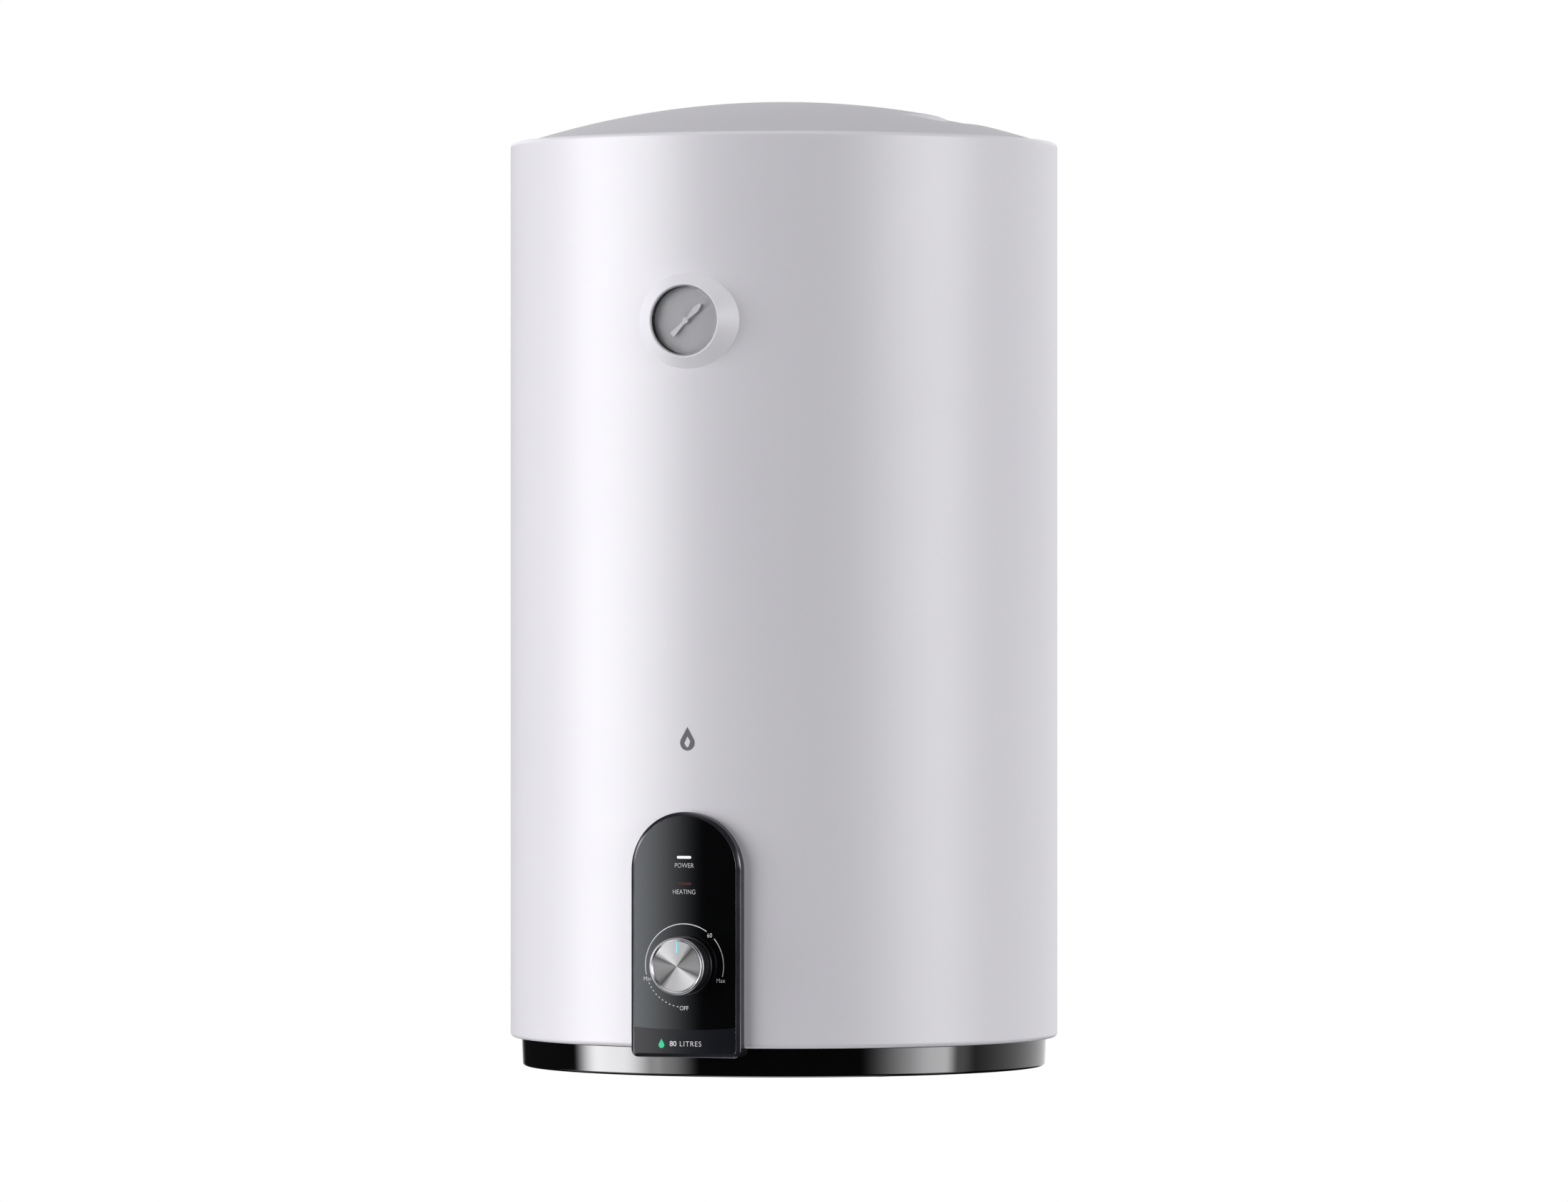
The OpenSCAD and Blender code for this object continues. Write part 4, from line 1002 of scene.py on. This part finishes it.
def build_collar(node, name, material):
    """Plastic ring that marks the pipe and closes the hole round it."""
    x, y = upright_axis(node)
    outer, under, top = high(node).x - x, low(node).z, high(node).z
    inner = 9.98
    groove, seat = under + 0.5, BASE_BOT - 0.05
    profile = rounded([(inner, under, 0.4), (13.2, under, 0.2), (13.8, groove, 0.2), (outer - 2.2, groove, 0.2),
                       (outer - 1.6, under, 0.2), (outer, under, 0.7), (outer, seat, 0.2),
                       (SLEEVE_R, seat, 0), (SLEEVE_R, top, 0.6), (inner, top, 0.4)], 4)
    hold(lathe(name, profile, Matrix.Translation((x, y, 0)), 96), material, replaces=[node])


def copy_of(node, name, merge=0.0):
    """A new object with a CAD node's shape, its faces merged where they lie within `merge` degrees of flat."""
    bm = bmesh.new()
    bm.from_mesh(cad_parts[node].data)
    bmesh.ops.remove_doubles(bm, verts=bm.verts, dist=1e-6)
    if merge:
        bmesh.ops.dissolve_limit(bm, angle_limit=math.radians(merge), verts=bm.verts, edges=bm.edges)
    mesh = bpy.data.meshes.new(name)
    bm.to_mesh(mesh)
    bm.free()
    obj = add_object(name, mesh)
    return obj


def soften(node, name, width, material):
    """Takes a CAD node's place with the same shape, its edges rounded off."""
    obj = copy_of(node, name, merge=1.5)
    mesh = obj.data
    bevel = obj.modifiers.new("edges", "BEVEL")
    bevel.width = width * MM
    bevel.segments = 3
    bevel.limit_method = "ANGLE"
    bevel.angle_limit = math.radians(35)
    bevel.material = 1                  # marks the rounded edges, so that the faces between them stay flat
    mesh.materials.append(material)
    mesh.materials.append(material)
    apply_modifiers(obj)
    tidy_mesh(obj, 40)
    for face in obj.data.polygons:
        face.use_smooth = face.material_index == 1
        face.material_index = 0
    hold(obj, material, replaces=[node])


BLUE_PLASTIC = moulded("blue_plastic", (0.015, 0.09, 0.42), 0.4).material
RED_PLASTIC = moulded("red_plastic", (0.50, 0.012, 0.012), 0.4).material
NYLON = moulded("black_nylon", (0.02, 0.02, 0.022), 0.45).material

build_pipe("cold_inlet_pipe", "cold_pipe_threaded")
build_pipe("hot_outlet_pipe", "hot_pipe_threaded")
build_collar("cold_pipe_collar", "cold_collar_ring", BLUE_PLASTIC)
build_collar("hot_pipe_collar", "hot_collar_ring", RED_PLASTIC)
soften("upper_wall_bracket", "upper_bracket_pressed", 0.7, ZINC)
soften("lower_wall_bracket", "lower_bracket_pressed", 0.7, ZINC)
soften("bracket_bolts", "bracket_bolts_hex", 0.45, ZINC_YELLOW)
soften("cable_gland", "cable_gland_hex", 0.8, NYLON)
soften("bottom_cover_screws", "base_screws", 0.22, ZINC)


SPRING_WIRE = metal("spring_wire", (0.6, 0.6, 0.62), 0.25).material


def build_reset_spring():
    """The button's return spring: a copy of the CAD coil, with a mesh of its own."""
    spring = copy_of("reset_spring", "reset_spring_coil")
    tidy_mesh(spring, 50)
    hold(spring, SPRING_WIRE, replaces=["reset_spring"])
    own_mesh(spring)


build_reset_spring()


# -------------------- materials of the CAD nodes that stay
STAYING = {
    ZINC: ["electrics_bracket"],
    ZINC_YELLOW: ["flange_studs", "flange_nuts", "anode_nut"],
    metal("bare_steel", (0.42, 0.42, 0.43), 0.45).material: [
        "bracket_bosses", "flange_collar", "flange_plate"],
    moulded("tank_enamel", (0.10, 0.14, 0.20), 0.22, 500, 0.03).material: [
        "tank_shell", "tank_top_head", "tank_bottom_head"],
    moulded("foam", (0.78, 0.66, 0.38), 0.9, 700, 0.6).material: ["insulation_foam"],
    moulded("gasket_rubber", (0.35, 0.05, 0.04), 0.7).material: ["flange_gasket"],
    metal("copper", (0.78, 0.42, 0.28), 0.3, (1, 1, 0.05)).material: [
        "heating_element", "sensor_pocket", "cutout_bulb", "thermostat_bulb", "thermostat_capillary"],
    moulded("steatite", (0.82, 0.79, 0.70), 0.6, 600, 0.05).material: ["element_insulators"],
    metal("brass", (0.72, 0.58, 0.32), 0.3).material: [
        "element_tabs", "terminal_screws", "earth_screw", "thermostat_spindle"],
    metal("magnesium", (0.55, 0.55, 0.55), 0.6, (1, 1, 0.05), 500, 0.05).material: ["magnesium_anode"],
    moulded("natural_plastic", (0.70, 0.70, 0.64), 0.5).material: [
        "inlet_diffuser", "terminal_block", "cutout_body"],
    BLUE_PLASTIC: ["neutral_wires"],
    RED_PLASTIC: ["cutout_reset_button"],
    NYLON: ["gland_nut", "thermostat_body"],
    moulded("brown_wire", (0.12, 0.045, 0.02), 0.45).material: ["live_wires"],
    moulded("green_yellow_wire", (0.30, 0.50, 0.03), 0.45).material: ["earth_wire"],
    moulded("circuit_board", (0.01, 0.10, 0.05), 0.35).material: ["lamp_board"],
    metal("tinned_steel", (0.60, 0.60, 0.61), 0.35).material: ["gauge_case"],
    moulded("dial_grey", (0.50, 0.505, 0.52), 0.5, 600, 0.01).material: ["gauge_dial"],
    moulded("needle_silver", (0.72, 0.72, 0.74), 0.35, depth=0.005).material: ["gauge_needle"],
    glow("lamp_white", (0.97, 0.98, 1.0), 0.5, (0.85, 0.86, 0.9)): ["power_lamp_lens"],
    moulded("lamp_red", (0.045, 0.004, 0.005), 0.2).material: ["heating_lamp_lens"],
}


def window_glass():
    s = Shader("window_clear", (1, 1, 1), 0.03, Transmission_Weight=1.0, IOR=1.12)
    s.bump(s.noise(120, 2), 0.001)
    return s.material


STAYING[window_glass()] = ["gauge_lens"]
for material, nodes in STAYING.items():
    for node in nodes:
        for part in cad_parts[node].material_slots:
            part.material = material


# -------------------- camera
CAMERA_AZIMUTH = 20.1
CAMERA_AWAY = 7.65  # metres from the tank's axis
EYE_Z = -0.009  # metres
LENS = 213.4
SENSOR = 36


def build_camera():
    a = math.radians(CAMERA_AZIMUTH)
    camera = add_object("camera", bpy.data.cameras.new("camera"))
    camera.data.sensor_width = SENSOR
    camera.data.lens = LENS
    camera.data.clip_end = 60
    camera.location = (CAMERA_AWAY * math.sin(a), AXIS_Y * MM - CAMERA_AWAY * math.cos(a), EYE_Z)
    camera.rotation_euler = (math.pi / 2, 0, a)
    bpy.context.scene.camera = camera


build_camera()


# -------------------- floor and studio light
FLOOR_TOP = -1100
FLOOR_UNDER = -1130
FLOOR_R = 3000


def build_floor():
    """A plain pale disc. It keeps out of reflections, and the light from below comes from the studio."""
    floor = lathe("floor", [(0, FLOOR_UNDER), (FLOOR_R, FLOOR_UNDER), (FLOOR_R, FLOOR_TOP), (0, FLOOR_TOP)],
                  segments=96)
    s = Shader("floor_paint", (0.86, 0.86, 0.86), 0.8)
    s.tint(s.noise(2, 3), (0.85, 0.85, 0.85))
    floor.data.materials.append(s.material)
    floor.visible_diffuse = False
    floor.visible_glossy = False


# Softboxes round the heater. Each has four angles across, in degrees round from the camera: where the light
# begins, is full, stops being full and ends. Then the same four in degrees above the horizon, and its strength.
SOFTBOXES = [
    ("left_key", (252, 270, 304, 321), (0, 5, 14, 22), 9.0),
    ("left_strip", (254, 271, 284, 308), (-12, -10, -4, -2), 12.0),
    ("left_tail", (298, 304, 306, 323), (-12, -8, 2, 4), 2.9),
    ("left_low", (235, 255, 290, 320), (-42, -30, -16, -8), 0.9),
    ("right_key", (25, 50, 72, 88), (0, 5, 12, 20), 9.2),
    ("right_strip", (33, 72, 75, 83), (-12, -10, -4, -2), 5.6),
    ("right_tall", (56, 66, 84, 94), (-36, -24, 26, 38), 0.8),
    ("rear_right", (70, 150, 172, 200), (-12, -8, 8, 12), 1.0),
    ("rear_high", (120, 150, 210, 240), (4, 12, 26, 40), 1.3),
    ("top", (-2, -1, 361, 362), (50, 66, 91, 92), 1.05),
    ("below", (-2, -1, 361, 362), (-92, -91, -74, -60), 2.6),
]
FRONT_GLOW = 0.012  # faint light from everywhere else


def build_world():
    """Softboxes painted on the sky. The camera itself sees a plain white background."""
    world = bpy.data.worlds.new("studio")
    bpy.context.scene.world = world
    world.use_nodes = True
    tree = world.node_tree
    tree.nodes.clear()

    def maths(operation, a, b=0.0):
        return math_node(tree, operation, a, b)

    def add(kind):
        return tree.nodes.new("ShaderNode" + kind)

    def step(value, start, end):
        node = add("MapRange")
        node.interpolation_type = "SMOOTHSTEP"
        node.inputs["From Min"].default_value = start
        node.inputs["From Max"].default_value = end
        tree.links.new(value, node.inputs["Value"])
        return node.outputs["Result"]

    def window(value, begin, full, last, end):
        return maths("MULTIPLY", step(value, begin, full), maths("SUBTRACT", 1, step(value, last, end)))

    direction = add("TexCoord").outputs["Generated"]
    turn = add("VectorRotate")
    turn.rotation_type = "Z_AXIS"
    turn.inputs["Angle"].default_value = -math.radians(CAMERA_AZIMUTH)
    tree.links.new(direction, turn.inputs["Vector"])
    parts = add("SeparateXYZ")
    tree.links.new(turn.outputs["Vector"], parts.inputs["Vector"])
    x, y, z = parts.outputs
    signed = maths("DEGREES", maths("ARCTAN2", x, maths("MULTIPLY", y, -1)))
    azimuth = maths("ADD", signed, maths("MULTIPLY", maths("LESS_THAN", signed, 0), 360))
    elevation = maths("DEGREES", maths("ARCSINE", z))

    total = None
    for _, across, up, strength in SOFTBOXES:
        box = maths("MULTIPLY", window(azimuth, *across), window(elevation, *up))
        box = maths("MULTIPLY", box, strength)
        total = maths("ADD", total, box) if total else maths("ADD", box, FRONT_GLOW)

    lit = add("Background")
    lit.inputs["Color"].default_value = (0.99, 0.98, 1.0, 1)
    tree.links.new(total, lit.inputs["Strength"])
    white = add("Background")
    white.inputs["Color"].default_value = (1, 1, 1, 1)
    seen = add("LightPath").outputs["Is Camera Ray"]
    mix = add("MixShader")
    tree.links.new(seen, mix.inputs["Fac"])
    tree.links.new(lit.outputs[0], mix.inputs[1])
    tree.links.new(white.outputs[0], mix.inputs[2])
    tree.links.new(mix.outputs[0], add("OutputWorld").inputs["Surface"])


build_floor()
build_world()
bpy.context.scene.view_settings.view_transform = "Standard"
